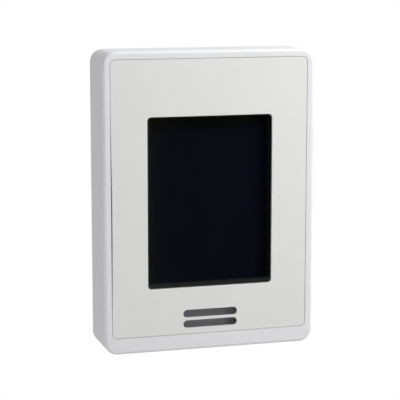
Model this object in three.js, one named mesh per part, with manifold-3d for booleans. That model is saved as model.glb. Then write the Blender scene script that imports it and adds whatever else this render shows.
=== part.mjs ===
// A wall thermostat with a touch display, as the real one is built: a base plate with a terminal board
// stays on the wall, and a cover with the display and the main board hangs on it and swings open.
// Millimetres, +Z up. The wall is the plane y = 0, the front faces -Y, and the origin is the centre of
// the face that lies against the wall. Names that end in Front and Back are y values.
import * as THREE from "three";
import { mergeVertices } from "three/addons/utils/BufferGeometryUtils.js";
import Module from "manifold-3d";

const wasm = await Module();
wasm.setup();

// ---- driving dimensions ----

const GAP = 0.3; // clearance between pieces that touch or are glued
const PAST = 1; // how far a cutting tool runs past the face that it opens
const MERGE = 1e-4; // vertices closer than this are one
const ARC_STEPS = 6; // facets in a quarter turn of a visible corner
const FINE_STEPS = 3; // facets in a quarter turn of a small corner
const ROUND_SIDES = 16; // facets round a screw, post or hole

const CASE = { width: 87, height: 120, depth: 23, corner: 5.3, fillet: 1.3, wall: 2, offWall: 0.6 };
const FASCIA = { width: 80.6, height: 110, thickness: 2, corner: 1.8, centreZ: 1.8, edge: 0.2 };
const SEAM = 0.25; // the line all round the fascia
const WINDOW = { width: 51.5, height: 68.6, corner: 1.5 };
const VENT = { width: 22.5, height: 3.15, pitch: 4.25, lowestZ: -49.35, count: 2, lip: 0.9 };
const LEDGE = { support: 1.6, thickness: 1.3, corner: 1.5, notchWidth: 29, notchBottomZ: -52.9 };

const LENS = { thickness: 1.1, recess: 0.35, corner: 1.2, edge: 0.15 };
const TOUCH = { thickness: 0.5, inset: 0.5 };
const GASKET = { width: 57, height: 76, thickness: 0.5 };
const RIB = { width: 60, height: 79.4, wall: 1.2, depth: 2 };
const TRAY = { width: 56, height: 75, depth: 4.3, wall: 0.5, floor: 0.4, corner: 0.8 };
const CELL = { width: 54.2, height: 73.2, thickness: 1.4, frontInset: 0.1 };
const BACKLIGHT = { thickness: 1.8 };

const BOARD = { width: 78, topZ: 54, bottomZ: -44, thickness: 1.6, corner: 2 };
const TAB = { width: 18, bottomZ: -52, slitWidth: 5, slitHeight: 1.2 };
const BAFFLE = { left: -13, right: 14.4, bottomZ: -52.2, topZ: -42.2, depth: 2.9, wall: 2, floor: 1 };
const AIR_PORT = { width: 3.1 }; // the way through the baffle to the sensor, at its right end
const BOSS = { x: 34.5, z: [49, -34], radius: 2.6, holeDepth: 3.4 };
const SCREW = { headRadius: 2.2, headHeight: 1.5, radius: 1.1, cross: 0.6, crossDepth: 0.6, hole: 1.45 };

const LCD_FLEX = { x: -5, width: 16, thickness: 0.25 };
const TOUCH_FLEX = { x: 15, width: 8, thickness: 0.25 };
const FLEX_RUN = 0.7; // how far a flex tail runs straight before and after its bend
const FLEX_SOCKET = { height: 3.8, thickness: 1.5, topZ: -39.7, mouth: 0.9, mouthDepth: 1.6, side: 1 };

const PLATE = { thickness: 2, rim: 1.5, rimDepth: 4, clearance: 0.4 };
const CABLE_HOLE = { width: 28, height: 28, corner: 3, centreZ: 22 };
const WALL_SLOT = { width: 3.9, length: 8, sideX: 30, endZ: 41.65 };
const HOOK = { x: 24, width: 10, reach: 4.4, tabTopZ: 54.7, thickness: 1.4, lip: 1.5, lipTopZ: 57 };
const CATCH = { width: 12, front: -8.3, thickness: 1.4, bottomZ: 56.4 };

const TERMINALS = { width: 74, height: 31, centreZ: -20.5, thickness: 1.6, standoff: 1.2, corner: 1.5 };
const POST = { radius: 2.5, x: 33.5, z: [-8.5, -31.5], pilotDepth: 2.1 };
const LUG = { width: 10, bottomZ: -57, topZ: -49, reach: 12 };
const LOCK = { x: 0, y: -8, radius: 1.5, length: 7.7, bottomZ: -57.2, hole: 1.9, hex: 0.95, hexDepth: 1.6 };

const HEADER = { x: -26.7, width: 16.8, bottomZ: -25, height: 10, tall: 8, wall: 1.1, floor: 1.5 };
const PLUG = { width: 15.8, tall: 7.6, bodyHeight: 8, ways: 4, pitch: 3.81, wall: 0.5 };
const PIN = { size: 1, length: 6, slotWidth: 2.2 };
const CLAMP = { radius: 1.3, height: 2.4, slotWidth: 0.5, slotDepth: 0.6, wellRadius: 1.65, entry: 2.4 };
const OUTPUTS = { x: -1, ways: 7, pitch: 3.5, height: 12, topZ: -6, tall: 8, edge: 0.5 };
const OUTPUT_WAY = { wire: 2.2, release: 1.2, releaseDepth: 2, side: 0.5 };
const LINK = { x: -2, z: -28, columns: 7, pitch: 2.54, pin: 0.64, tail: 4.3, depth: 2.5, height: 5 };
const SOCKET = { depth: 5, height: 7, extra: 3, wall: 0.9, floor: 1 };
const RELAY = { x: 26.5, z: [-16.2, -26.5], width: 15, height: 7.5, tall: 5.6, edge: 0.4 };
const CAPACITOR = { x: -26, z: -31, radius: 3.15, tall: 5.4, crimp: 0.25 };
const CAPACITOR_FOOT = { size: 6.6, tall: 1, corner: 1 };
const INDUCTOR = { x: -17.2, z: -31, size: 6.6, tall: 4, edge: 0.8 };
const SWITCH = { x: 13.4, z: -28, width: 3.6, height: 8.6, tall: 3.5, wall: 0.6, floor: 1 };
const SLIDER = { size: 1.6, stem: 1.8, travel: 2, foot: 1.2 };

const PROCESSOR = { x: -6, z: 22, size: 12, thickness: 1.2, edge: 0.2 };
const MEMORY = { x: 10, z: 24, width: 8, height: 5.4, thickness: 1.1, edge: 0.2 };
const RADIO = { x: 12, z: 43, width: 18, height: 13, thickness: 2.2, wall: 0.3, corner: 1 };
const BEEPER = { x: -25, z: 40, radius: 4.5, tall: 4, port: 0.9, portDepth: 2 };
const HOLDER = { x: 26, z: 28, radius: 8.2, tall: 3.6, floor: 0.7, notch: 7 };
const COIN = { radius: 6.25, thickness: 2, edge: 0.3 };
const SENSOR = { x: 0, z: -48, size: 3, thickness: 1, port: 0.5, portDepth: 0.5 };

// ---- the y planes that follow from them ----

const caseFront = -CASE.depth;
const fasciaBack = caseFront + FASCIA.thickness;
const ledgeFront = fasciaBack + GAP;
const ledgeBack = ledgeFront + LEDGE.thickness;
const lensFront = caseFront + LENS.recess;
const lensBack = lensFront + LENS.thickness;
const touchFront = lensBack + GAP;
const touchBack = touchFront + TOUCH.thickness;
const gasketFront = fasciaBack + GAP;
const gasketBack = gasketFront + GASKET.thickness;
const trayFront = gasketBack + GAP;
const trayBack = trayFront + TRAY.depth;
const boardFront = trayBack + GAP;
const boardBack = boardFront + BOARD.thickness;
const onBoard = boardBack + GAP; // front of the parts on the board's rear side
const plateFront = -PLATE.thickness;
const rimFront = plateFront - PLATE.rimDepth;
const terminalsBack = plateFront - TERMINALS.standoff;
const terminalsFront = terminalsBack - TERMINALS.thickness;
const onTerminals = terminalsFront - GAP; // back of the parts on the terminal board

// ---- helpers ----

function outline(width, height, corner, x = 0, z = 0) {
  const shape = new THREE.Shape();
  const right = x + width / 2;
  const left = x - width / 2;
  const top = z + height / 2;
  const bottom = z - height / 2;
  shape.moveTo(left + corner, bottom);
  shape.absarc(right - corner, bottom + corner, corner, -Math.PI / 2, 0);
  shape.absarc(right - corner, top - corner, corner, 0, Math.PI / 2);
  shape.absarc(left + corner, top - corner, corner, Math.PI / 2, Math.PI);
  shape.absarc(left + corner, bottom + corner, corner, Math.PI, 1.5 * Math.PI);
  shape.closePath();
  return shape;
}

// An outline in x and z, extruded from y = front to y = back.
function slab(shape, front, back, steps = FINE_STEPS) {
  const options = { depth: back - front, bevelEnabled: false, curveSegments: steps };
  return new THREE.ExtrudeGeometry(shape, options).rotateX(Math.PI / 2).translate(0, back, 0);
}

// The same, with both faces' edges rounded by `edge`.
function softSlab(shape, front, back, edge, steps = FINE_STEPS, edgeSteps = 1) {
  const bevel = { bevelThickness: edge, bevelSize: edge, bevelOffset: -edge, bevelSegments: edgeSteps };
  const options = { depth: back - front - 2 * edge, curveSegments: steps, ...bevel };
  return new THREE.ExtrudeGeometry(shape, options).rotateX(Math.PI / 2).translate(0, back - edge, 0);
}

// A box between two values on each axis.
function block([x0, x1], [y0, y1], [z0, z1]) {
  const geometry = new THREE.BoxGeometry(x1 - x0, y1 - y0, z1 - z0);
  return geometry.translate((x0 + x1) / 2, (y0 + y1) / 2, (z0 + z1) / 2);
}

const around = (middle, size) => [middle - size / 2, middle + size / 2];

// `count` values spaced evenly about a middle.
const row = (count, pitch, middle) =>
  Array.from({ length: count }, (_, i) => middle + (i - (count - 1) / 2) * pitch);

// A rod along y at (x, z), and one along z at (x, y).
function rodY(radius, front, back, x, z, sides = ROUND_SIDES) {
  const geometry = new THREE.CylinderGeometry(radius, radius, back - front, sides);
  return geometry.translate(x, (front + back) / 2, z);
}

function rodZ(radius, bottom, top, x, y, sides = ROUND_SIDES) {
  const geometry = new THREE.CylinderGeometry(radius, radius, top - bottom, sides).rotateX(Math.PI / 2);
  return geometry.translate(x, y, (bottom + top) / 2);
}

function solid(geometry) {
  const bare = geometry.clone();
  bare.deleteAttribute("normal");
  bare.deleteAttribute("uv");
  const merged = mergeVertices(bare, MERGE);
  const triVerts = new Uint32Array(merged.index.array);
  const vertProperties = merged.attributes.position.array;
  return new wasm.Manifold(new wasm.Mesh({ numProp: 3, vertProperties, triVerts }));
}

// One body from a first geometry, with others joined to it or cut from it.
function joined(first, others) {
  return others.reduce((body, other) => body.add(solid(other)), first);
}

function cut(first, others) {
  return others.reduce((body, other) => body.subtract(solid(other)), first);
}

function geometryOf(body) {
  const mesh = body.getMesh();
  const geometry = new THREE.BufferGeometry();
  geometry.setAttribute("position", new THREE.BufferAttribute(mesh.vertProperties, 3));
  geometry.setIndex(new THREE.BufferAttribute(mesh.triVerts, 1));
  geometry.computeVertexNormals();
  return geometry;
}

const materials = {
  shell: { color: 0xf1f1f1, roughness: 0.3, metalness: 0 },
  panel: { color: 0xe4e4e0, roughness: 0.55, metalness: 0 },
  basePlastic: { color: 0xe9e9e6, roughness: 0.55, metalness: 0 },
  glass: { color: 0x08080f, roughness: 0.05, metalness: 0 },
  film: { color: 0x2a2c30, roughness: 0.2, metalness: 0 },
  foam: { color: 0x1c1c1c, roughness: 0.95, metalness: 0 },
  steel: { color: 0xb8bbbe, roughness: 0.35, metalness: 1 },
  diffuser: { color: 0xf4f4f0, roughness: 0.6, metalness: 0 },
  circuit: { color: 0x1f6b3c, roughness: 0.5, metalness: 0 },
  flex: { color: 0xb5702a, roughness: 0.4, metalness: 0 },
  darkPlastic: { color: 0x3c3c3e, roughness: 0.6, metalness: 0 },
  blackPlastic: { color: 0x161617, roughness: 0.5, metalness: 0 },
  greenPlastic: { color: 0x2f9a55, roughness: 0.45, metalness: 0 },
  nylon: { color: 0xe6e2d4, roughness: 0.5, metalness: 0 },
};

const group = new THREE.Group();

function place(name, shape, finish) {
  const geometry = shape.isBufferGeometry ? shape : geometryOf(shape);
  const mesh = new THREE.Mesh(geometry, new THREE.MeshStandardMaterial(materials[finish]));
  mesh.name = name;
  group.add(mesh);
}

// ---- the cover ----

const innerWidth = CASE.width - 2 * CASE.wall;
const innerHeight = CASE.height - 2 * CASE.wall;
const innerTop = innerHeight / 2;

// The frame that gives the outer form: side walls, the land round the fascia and the ledge behind it.
function housing() {
  const form = outline(CASE.width, CASE.height, CASE.corner);
  const rough = softSlab(form, caseFront, CASE.fillet + PAST, CASE.fillet, ARC_STEPS, ARC_STEPS);
  const behind = block(around(0, 2 * CASE.width), [-CASE.offWall, CASE.depth], around(0, 2 * CASE.height));
  const cavity = outline(innerWidth, innerHeight, CASE.corner - CASE.wall);
  const seat = outline(
    FASCIA.width + 2 * SEAM,
    FASCIA.height + 2 * SEAM,
    FASCIA.corner + SEAM,
    0,
    FASCIA.centreZ,
  );
  const opening = outline(
    FASCIA.width - 2 * LEDGE.support,
    FASCIA.height - 2 * LEDGE.support,
    LEDGE.corner,
    0,
    FASCIA.centreZ,
  );
  const notch = block(
    around(0, LEDGE.notchWidth),
    [ledgeFront - GAP / 2, ledgeBack + PAST],
    [LEDGE.notchBottomZ, FASCIA.centreZ],
  );
  const shell = cut(solid(rough), [
    behind,
    slab(cavity, ledgeBack, PAST),
    slab(seat, caseFront - PAST, ledgeFront, FINE_STEPS),
    slab(opening, ledgeFront - PAST / 2, ledgeBack + PAST),
    notch,
  ]);
  const bossBack = boardFront - GAP;
  const bosses = [];
  const holes = [rodZ(LOCK.hole, -CASE.height / 2 - PAST, -innerTop + PAST, LOCK.x, LOCK.y)];
  for (const side of [-1, 1]) {
    for (const z of BOSS.z) {
      const reach = [side * BOSS.x - BOSS.radius, side * BOSS.x + BOSS.radius];
      reach[side < 0 ? 0 : 1] = (side * (innerWidth + CASE.wall)) / 2;
      bosses.push(block(reach, [ledgeBack - LEDGE.thickness / 2, bossBack], around(z, 2 * BOSS.radius)));
      holes.push(rodY(SCREW.hole, bossBack - BOSS.holeDepth, bossBack + PAST, side * BOSS.x, z));
    }
    const back = CATCH.front + CATCH.thickness;
    const height = [CATCH.bottomZ, innerTop + CASE.wall / 2];
    bosses.push(block(around(side * HOOK.x, CATCH.width), [CATCH.front, back], height));
  }
  return cut(joined(shell, bosses), holes);
}

// The flush front panel, with the window, the two air slots, a locating rib behind the window and a
// pocket behind the slots that leaves them a thin lip.
function fascia() {
  const form = outline(FASCIA.width, FASCIA.height, FASCIA.corner, 0, FASCIA.centreZ);
  form.holes.push(outline(WINDOW.width, WINDOW.height, WINDOW.corner));
  for (let i = 0; i < VENT.count; i += 1) {
    form.holes.push(outline(VENT.width, VENT.height, VENT.height / 2, 0, VENT.lowestZ + i * VENT.pitch));
  }
  const panel = solid(softSlab(form, caseFront, fasciaBack, FASCIA.edge, ARC_STEPS));
  const pocket = block(
    [BAFFLE.left - GAP, BAFFLE.right + GAP],
    [caseFront + VENT.lip, fasciaBack + PAST],
    [BAFFLE.bottomZ - GAP, BAFFLE.topZ + GAP],
  );
  const rib = outline(RIB.width, RIB.height, RIB.wall);
  rib.holes.push(outline(RIB.width - 2 * RIB.wall, RIB.height - 2 * RIB.wall, RIB.wall / 2));
  const ribBack = fasciaBack + RIB.depth;
  return cut(joined(panel, [slab(rib, fasciaBack - FASCIA.thickness / 2, ribBack)]), [
    tailway(TOUCH_FLEX, fasciaBack + GAP / 2, ribBack + PAST),
    tailway(LCD_FLEX, fasciaBack + GAP / 2, ribBack + PAST),
    pocket,
  ]);
}

// The way that a flex tail needs below the display, between two y values.
function tailway(flex, front, back) {
  const clear = flex.width + 2 * FLEX_SOCKET.side;
  return block(around(flex.x, clear), [front, back], [-RIB.height / 2 - PAST, -WINDOW.height / 2 - PAST]);
}

function lens() {
  const form = outline(WINDOW.width - 2 * GAP, WINDOW.height - 2 * GAP, LENS.corner);
  return softSlab(form, lensFront, lensBack, LENS.edge, ARC_STEPS);
}

function touchSensor() {
  const form = outline(WINDOW.width - 2 * TOUCH.inset, WINDOW.height - 2 * TOUCH.inset, LENS.corner);
  return slab(form, touchFront, touchBack);
}

function gasket() {
  const form = outline(GASKET.width, GASKET.height, WINDOW.corner);
  form.holes.push(outline(WINDOW.width, WINDOW.height, WINDOW.corner));
  return cut(solid(slab(form, gasketFront, gasketBack)), [
    tailway(TOUCH_FLEX, gasketFront - PAST, gasketBack + PAST),
  ]);
}

function tray() {
  const inside = outline(TRAY.width - 2 * TRAY.wall, TRAY.height - 2 * TRAY.wall, TRAY.corner - TRAY.wall);
  return cut(solid(slab(outline(TRAY.width, TRAY.height, TRAY.corner), trayFront, trayBack)), [
    slab(inside, trayFront - PAST, trayBack - TRAY.floor),
    tailway(LCD_FLEX, trayFront - PAST, cellBack + GAP),
  ]);
}

const cellFront = trayFront + CELL.frontInset;
const cellBack = cellFront + CELL.thickness;
const cellForm = outline(CELL.width, CELL.height, TRAY.corner / 2);

function backlight() {
  return slab(cellForm, cellBack + GAP, cellBack + GAP + BACKLIGHT.thickness);
}

// A flat tail of a given thickness along a curve in the y-z plane, `width` wide in x.
function tail(points, flex) {
  const curve = new THREE.CatmullRomCurve3(points.map(([y, z]) => new THREE.Vector3(y, z, 0)));
  const steps = 4 * (points.length - 1);
  const near = [];
  const far = [];
  for (let i = 0; i <= steps; i += 1) {
    const point = curve.getPoint(i / steps);
    const along = curve.getTangent(i / steps);
    const shift = new THREE.Vector3(-along.y, along.x, 0).multiplyScalar(flex.thickness / 2);
    near.push(new THREE.Vector2(point.x + shift.x, point.y + shift.y));
    far.unshift(new THREE.Vector2(point.x - shift.x, point.y - shift.y));
  }
  const options = { depth: flex.width, bevelEnabled: false };
  const ribbon = new THREE.ExtrudeGeometry(new THREE.Shape([...near, ...far]), options);
  const axes = [new THREE.Vector3(0, 1, 0), new THREE.Vector3(0, 0, 1), new THREE.Vector3(1, 0, 0)];
  ribbon.applyMatrix4(new THREE.Matrix4().makeBasis(...axes));
  return ribbon.translate(flex.x - flex.width / 2, 0, 0);
}

const mouthY = boardFront - GAP - FLEX_SOCKET.thickness / 2;
const mouthZ = FLEX_SOCKET.topZ - FLEX_SOCKET.mouthDepth + GAP;

function lcdTail() {
  const startY = (cellFront + cellBack) / 2;
  const startZ = -CELL.height / 2 - GAP;
  return tail(
    [
      [startY, startZ],
      [startY, startZ - FLEX_RUN],
      [mouthY, FLEX_SOCKET.topZ + FLEX_RUN],
      [mouthY, mouthZ],
    ],
    LCD_FLEX,
  );
}

function touchTail() {
  const startY = (gasketFront + gasketBack) / 2;
  return tail(
    [
      [startY, -WINDOW.height / 2 - PAST - GAP],
      [startY, -TRAY.height / 2 - GAP],
      [mouthY, FLEX_SOCKET.topZ + FLEX_RUN],
      [mouthY, mouthZ],
    ],
    TOUCH_FLEX,
  );
}

function flexSocket(flex) {
  const width = flex.width + 2 * (FLEX_SOCKET.side + GAP);
  const back = boardFront - GAP;
  const z = [FLEX_SOCKET.topZ - FLEX_SOCKET.height, FLEX_SOCKET.topZ];
  const mouthBottom = FLEX_SOCKET.topZ - FLEX_SOCKET.mouthDepth;
  const mouth = block(
    around(flex.x, flex.width + 2 * GAP),
    around(mouthY, FLEX_SOCKET.mouth),
    [mouthBottom, FLEX_SOCKET.topZ + PAST],
  );
  return cut(solid(block(around(flex.x, width), [back - FLEX_SOCKET.thickness, back], z)), [mouth]);
}

// The main board, with a tab below it that keeps the climate sensor away from its warmth.
function mainBoard() {
  const height = BOARD.topZ - BOARD.bottomZ;
  const form = outline(BOARD.width, height, BOARD.corner, 0, (BOARD.topZ + BOARD.bottomZ) / 2);
  const tab = block(around(0, TAB.width), [boardFront, boardBack], [TAB.bottomZ, BOARD.bottomZ + PAST]);
  const cuts = [];
  for (const side of [-1, 1]) {
    const slit = around(BOARD.bottomZ, TAB.slitHeight);
    cuts.push(block(around((side * TAB.width) / 4, TAB.slitWidth), [boardFront - PAST, PAST], slit));
    for (const z of BOSS.z) {
      cuts.push(rodY(SCREW.hole, boardFront - PAST, boardBack + PAST, side * BOSS.x, z));
    }
  }
  return cut(joined(solid(slab(form, boardFront, boardBack)), [tab]), cuts);
}

// The dark tray in that pocket, behind the air slots: it hides the sensor's tab, and the air reaches the
// sensor through the port at its right end.
function baffle() {
  const front = caseFront + VENT.lip + GAP;
  const back = front + BAFFLE.depth;
  const body = block([BAFFLE.left, BAFFLE.right], [front, back], [BAFFLE.bottomZ, BAFFLE.topZ]);
  const right = BAFFLE.right - BAFFLE.wall;
  const z = [BAFFLE.bottomZ + BAFFLE.wall / 2, BAFFLE.topZ - BAFFLE.wall / 2];
  const inside = block([BAFFLE.left + BAFFLE.wall, right], [front - PAST, back - BAFFLE.floor], z);
  const port = block([right - AIR_PORT.width, right], [front - PAST, back + PAST], z);
  return cut(solid(body), [inside, port]);
}

// A pan-head screw along y: the head's top at y = headTop, the shank towards `way` (-1 is forwards).
function screw(headTop, way, shank, x, z) {
  const headBase = headTop + way * SCREW.headHeight;
  const tip = headBase + way * shank;
  const span = (a, b) => [Math.min(a, b), Math.max(a, b)];
  const head = solid(rodY(SCREW.headRadius, ...span(headTop, headBase), x, z));
  const overlap = headBase - way * (SCREW.headHeight / 2);
  const body = joined(head, [rodY(SCREW.radius, ...span(overlap, tip), x, z)]);
  const cross = span(headTop - way * PAST, headTop + way * SCREW.crossDepth);
  const long = SCREW.headRadius;
  return cut(body, [
    block(around(x, long), cross, around(z, SCREW.cross)),
    block(around(x, SCREW.cross), cross, around(z, long)),
  ]);
}

function chip(part, width, height) {
  const form = outline(width, height, part.edge, part.x, part.z);
  return softSlab(form, onBoard, onBoard + part.thickness, part.edge / 2);
}

// A pressed can over the radio, open towards the board.
function radioCan() {
  const back = onBoard + RADIO.thickness;
  const wall = 2 * RADIO.wall;
  const can = slab(outline(RADIO.width, RADIO.height, RADIO.corner, RADIO.x, RADIO.z), onBoard, back);
  const corner = RADIO.corner - RADIO.wall;
  const inside = outline(RADIO.width - wall, RADIO.height - wall, corner, RADIO.x, RADIO.z);
  return cut(solid(can), [slab(inside, onBoard - PAST, back - RADIO.wall)]);
}

function beeper() {
  const back = onBoard + BEEPER.tall;
  const can = solid(rodY(BEEPER.radius, onBoard, back, BEEPER.x, BEEPER.z, 2 * ROUND_SIDES));
  return cut(can, [rodY(BEEPER.port, back - BEEPER.portDepth, back + PAST, BEEPER.x, BEEPER.z)]);
}

// A round cup for the coin cell, with a notch on one side to push the cell out.
function cellHolder() {
  const back = onBoard + HOLDER.tall;
  const cup = solid(rodY(HOLDER.radius, onBoard, back, HOLDER.x, HOLDER.z, 2 * ROUND_SIDES));
  const pocketFront = onBoard + HOLDER.floor;
  return cut(cup, [
    rodY(COIN.radius + GAP, pocketFront, back + PAST, HOLDER.x, HOLDER.z, 2 * ROUND_SIDES),
    block(
      [HOLDER.x, HOLDER.x + 2 * HOLDER.radius],
      [pocketFront, back + PAST],
      around(HOLDER.z, HOLDER.notch),
    ),
  ]);
}

function coinCell() {
  const front = onBoard + HOLDER.floor + GAP;
  const back = front + COIN.thickness;
  const profile = [
    [0, front],
    [COIN.radius - COIN.edge, front],
    [COIN.radius - COIN.edge, front + COIN.edge],
    [COIN.radius, front + 2 * COIN.edge],
    [COIN.radius, back],
    [0, back],
  ];
  const points = profile.map(([radius, y]) => new THREE.Vector2(radius, y));
  return new THREE.LatheGeometry(points, 2 * ROUND_SIDES).translate(HOLDER.x, 0, HOLDER.z);
}

function climateSensor() {
  const back = boardFront - GAP;
  const front = back - SENSOR.thickness;
  const can = block(around(SENSOR.x, SENSOR.size), [front, back], around(SENSOR.z, SENSOR.size));
  return cut(solid(can), [rodY(SENSOR.port, front - PAST, front + SENSOR.portDepth, SENSOR.x, SENSOR.z)]);
}

const linkWidth = LINK.columns * LINK.pitch;
const linkColumns = row(LINK.columns, LINK.pitch, LINK.x);

// The two-row pin strip on the main board that plugs into the socket on the terminal board.
function linkPins() {
  const back = onBoard + LINK.depth;
  const strip = block(around(LINK.x, linkWidth), [onBoard, back], around(LINK.z, LINK.height));
  const pins = [];
  for (const x of linkColumns) {
    for (const row of [-1, 1]) {
      const z = LINK.z + (row * LINK.pitch) / 2;
      pins.push(block(around(x, LINK.pin), [back - PAST, back + LINK.tail], around(z, LINK.pin)));
    }
  }
  return joined(solid(strip), pins);
}

// ---- the base ----

function basePlate() {
  const width = innerWidth - 2 * PLATE.clearance;
  const height = innerHeight - 2 * PLATE.clearance;
  const corner = CASE.corner - CASE.wall - PLATE.clearance;
  const inside = outline(width - 2 * PLATE.rim, height - 2 * PLATE.rim, corner - PLATE.rim);
  const pan = cut(solid(slab(outline(width, height, corner), rimFront, 0)), [
    slab(inside, rimFront - PAST, plateFront),
  ]);
  const postFront = terminalsBack + GAP;
  const added = [];
  const cable = outline(CABLE_HOLE.width, CABLE_HOLE.height, CABLE_HOLE.corner, 0, CABLE_HOLE.centreZ);
  const holes = [slab(cable, -CASE.depth, PAST)];
  for (const side of [-1, 1]) {
    added.push(...hook(side * HOOK.x));
    holes.push(wallSlot(WALL_SLOT.width, WALL_SLOT.length, side * WALL_SLOT.sideX, 0));
    holes.push(wallSlot(WALL_SLOT.length, WALL_SLOT.width, 0, side * WALL_SLOT.endZ));
    for (const z of POST.z) {
      added.push(rodY(POST.radius, postFront, plateFront + PAST, side * POST.x, z));
      holes.push(rodY(SCREW.hole, postFront - PAST, postFront + POST.pilotDepth, side * POST.x, z));
    }
  }
  added.push(block(around(LOCK.x, LUG.width), [-LUG.reach, plateFront + PAST], [LUG.bottomZ, LUG.topZ]));
  holes.push(rodZ(LOCK.radius + GAP, LUG.bottomZ - PAST, LUG.topZ + PAST, LOCK.x, LOCK.y));
  return cut(joined(pan, added), holes);
}

function wallSlot(width, height, x, z) {
  return slab(outline(width, height, WALL_SLOT.width / 2 - MERGE, x, z), -CASE.depth, PAST);
}

// A tab that reaches forward from the rim, with a lip that stands behind the cover's catch.
function hook(x) {
  const tip = rimFront - HOOK.reach;
  const bottom = HOOK.tabTopZ - HOOK.thickness;
  return [
    block(around(x, HOOK.width), [tip, plateFront + PAST], [bottom, HOOK.tabTopZ]),
    block(around(x, HOOK.width), [tip, tip + HOOK.lip], [bottom, HOOK.lipTopZ]),
    block(around(x, HOOK.width), [rimFront + PAST, plateFront + PAST], [bottom, HOOK.lipTopZ]),
  ];
}

function terminalBoard() {
  const form = outline(TERMINALS.width, TERMINALS.height, TERMINALS.corner, 0, TERMINALS.centreZ);
  return cut(solid(slab(form, terminalsFront, terminalsBack)), [
    rodY(SCREW.hole, terminalsFront - PAST, terminalsBack + PAST, -POST.x, POST.z[1]),
    rodY(SCREW.hole, terminalsFront - PAST, terminalsBack + PAST, POST.x, POST.z[0]),
  ]);
}

const wayX = row(PLUG.ways, PLUG.pitch, HEADER.x);
const headerMiddle = onTerminals - HEADER.tall / 2;
const headerTop = HEADER.bottomZ + HEADER.height;

// The fixed half of the pluggable terminal: a shroud open upwards, with one pin for each way.
function terminalHeader() {
  const inner = { width: HEADER.width - 2 * HEADER.wall, tall: HEADER.tall - 2 * HEADER.wall };
  const z = [HEADER.bottomZ, headerTop];
  const shroud = block(around(HEADER.x, HEADER.width), around(headerMiddle, HEADER.tall), z);
  const floor = HEADER.bottomZ + HEADER.floor;
  const hollow = block(
    around(HEADER.x, inner.width),
    around(headerMiddle, inner.tall),
    [floor, headerTop + PAST],
  );
  const pins = wayX.map((x) =>
    block(around(x, PIN.size), around(headerMiddle, PIN.size), [floor - PAST / 2, floor + PIN.length]),
  );
  return joined(cut(solid(shroud), [hollow]), pins);
}

// The plug that the wires are clamped in: a nose inside the header and a body above it.
function terminalPlug() {
  const bottom = headerTop + GAP;
  const top = bottom + PLUG.bodyHeight;
  const noseWidth = HEADER.width - 2 * (HEADER.wall + GAP);
  const noseTall = HEADER.tall - 2 * (HEADER.wall + GAP);
  const noseBottom = HEADER.bottomZ + HEADER.floor + GAP;
  const front = headerMiddle - PLUG.tall / 2;
  const body = solid(
    block(around(HEADER.x, PLUG.width), around(headerMiddle, PLUG.tall), [bottom, top]),
  );
  const nose = block(
    around(HEADER.x, noseWidth),
    around(headerMiddle, noseTall),
    [noseBottom, bottom + PAST],
  );
  const slotTop = HEADER.bottomZ + HEADER.floor + PIN.length + PAST;
  const slot = block(
    around(HEADER.x, noseWidth - 2 * PLUG.wall),
    around(headerMiddle, PIN.slotWidth),
    [noseBottom - PAST, slotTop],
  );
  const clampZ = (bottom + top) / 2;
  const wells = wayX.map((x) => rodY(CLAMP.wellRadius, front - PAST, clampBack + GAP, x, clampZ));
  const entries = wayX.map((x) =>
    block(around(x, CLAMP.entry), around(headerMiddle, CLAMP.entry), [clampZ, top + PAST]),
  );
  return cut(joined(body, [nose]), [slot, ...wells, ...entries]);
}

const clampFront = headerMiddle - PLUG.tall / 2 + GAP;
const clampBack = clampFront + CLAMP.height;
const clampMiddleZ = headerTop + GAP + PLUG.bodyHeight / 2;

function terminalScrew(x) {
  const head = solid(rodY(CLAMP.radius, clampFront, clampBack, x, clampMiddleZ));
  const cutY = [clampFront - PAST, clampFront + CLAMP.slotDepth];
  const slot = block(around(x, 2 * CLAMP.radius + PAST), cutY, around(clampMiddleZ, CLAMP.slotWidth));
  return cut(head, [slot]);
}

// The spring terminal for the outputs: a wire entry on top and a release slot in front for each way.
function outputTerminal() {
  const width = OUTPUTS.ways * OUTPUTS.pitch + 2 * OUTPUT_WAY.side;
  const front = onTerminals - OUTPUTS.tall;
  const middleZ = OUTPUTS.topZ - OUTPUTS.height / 2;
  const form = outline(width, OUTPUTS.height, OUTPUTS.edge, OUTPUTS.x, middleZ);
  const wireY = around(onTerminals - OUTPUTS.tall / 2, OUTPUT_WAY.wire);
  const releaseY = [front - PAST, front + OUTPUT_WAY.releaseDepth];
  const releaseZ = around(middleZ, OUTPUT_WAY.wire);
  const cuts = [];
  for (const x of row(OUTPUTS.ways, OUTPUTS.pitch, OUTPUTS.x)) {
    cuts.push(block(around(x, OUTPUT_WAY.wire), wireY, [middleZ - PAST, OUTPUTS.topZ + PAST]));
    cuts.push(block(around(x, OUTPUT_WAY.release), releaseY, releaseZ));
  }
  return cut(solid(softSlab(form, front, onTerminals, OUTPUTS.edge / 2)), cuts);
}

function linkSocket() {
  const width = linkWidth + SOCKET.extra;
  const front = onTerminals - SOCKET.depth;
  const body = block(around(LINK.x, width), [front, onTerminals], around(LINK.z, SOCKET.height));
  const trough = block(
    around(LINK.x, width - 2 * SOCKET.wall),
    [front - PAST, onTerminals - SOCKET.floor],
    around(LINK.z, SOCKET.height - 2 * SOCKET.wall),
  );
  return cut(solid(body), [trough]);
}

function relay(z) {
  const form = outline(RELAY.width, RELAY.height, RELAY.edge, RELAY.x, z);
  return softSlab(form, onTerminals - RELAY.tall, onTerminals, RELAY.edge / 2);
}

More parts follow.
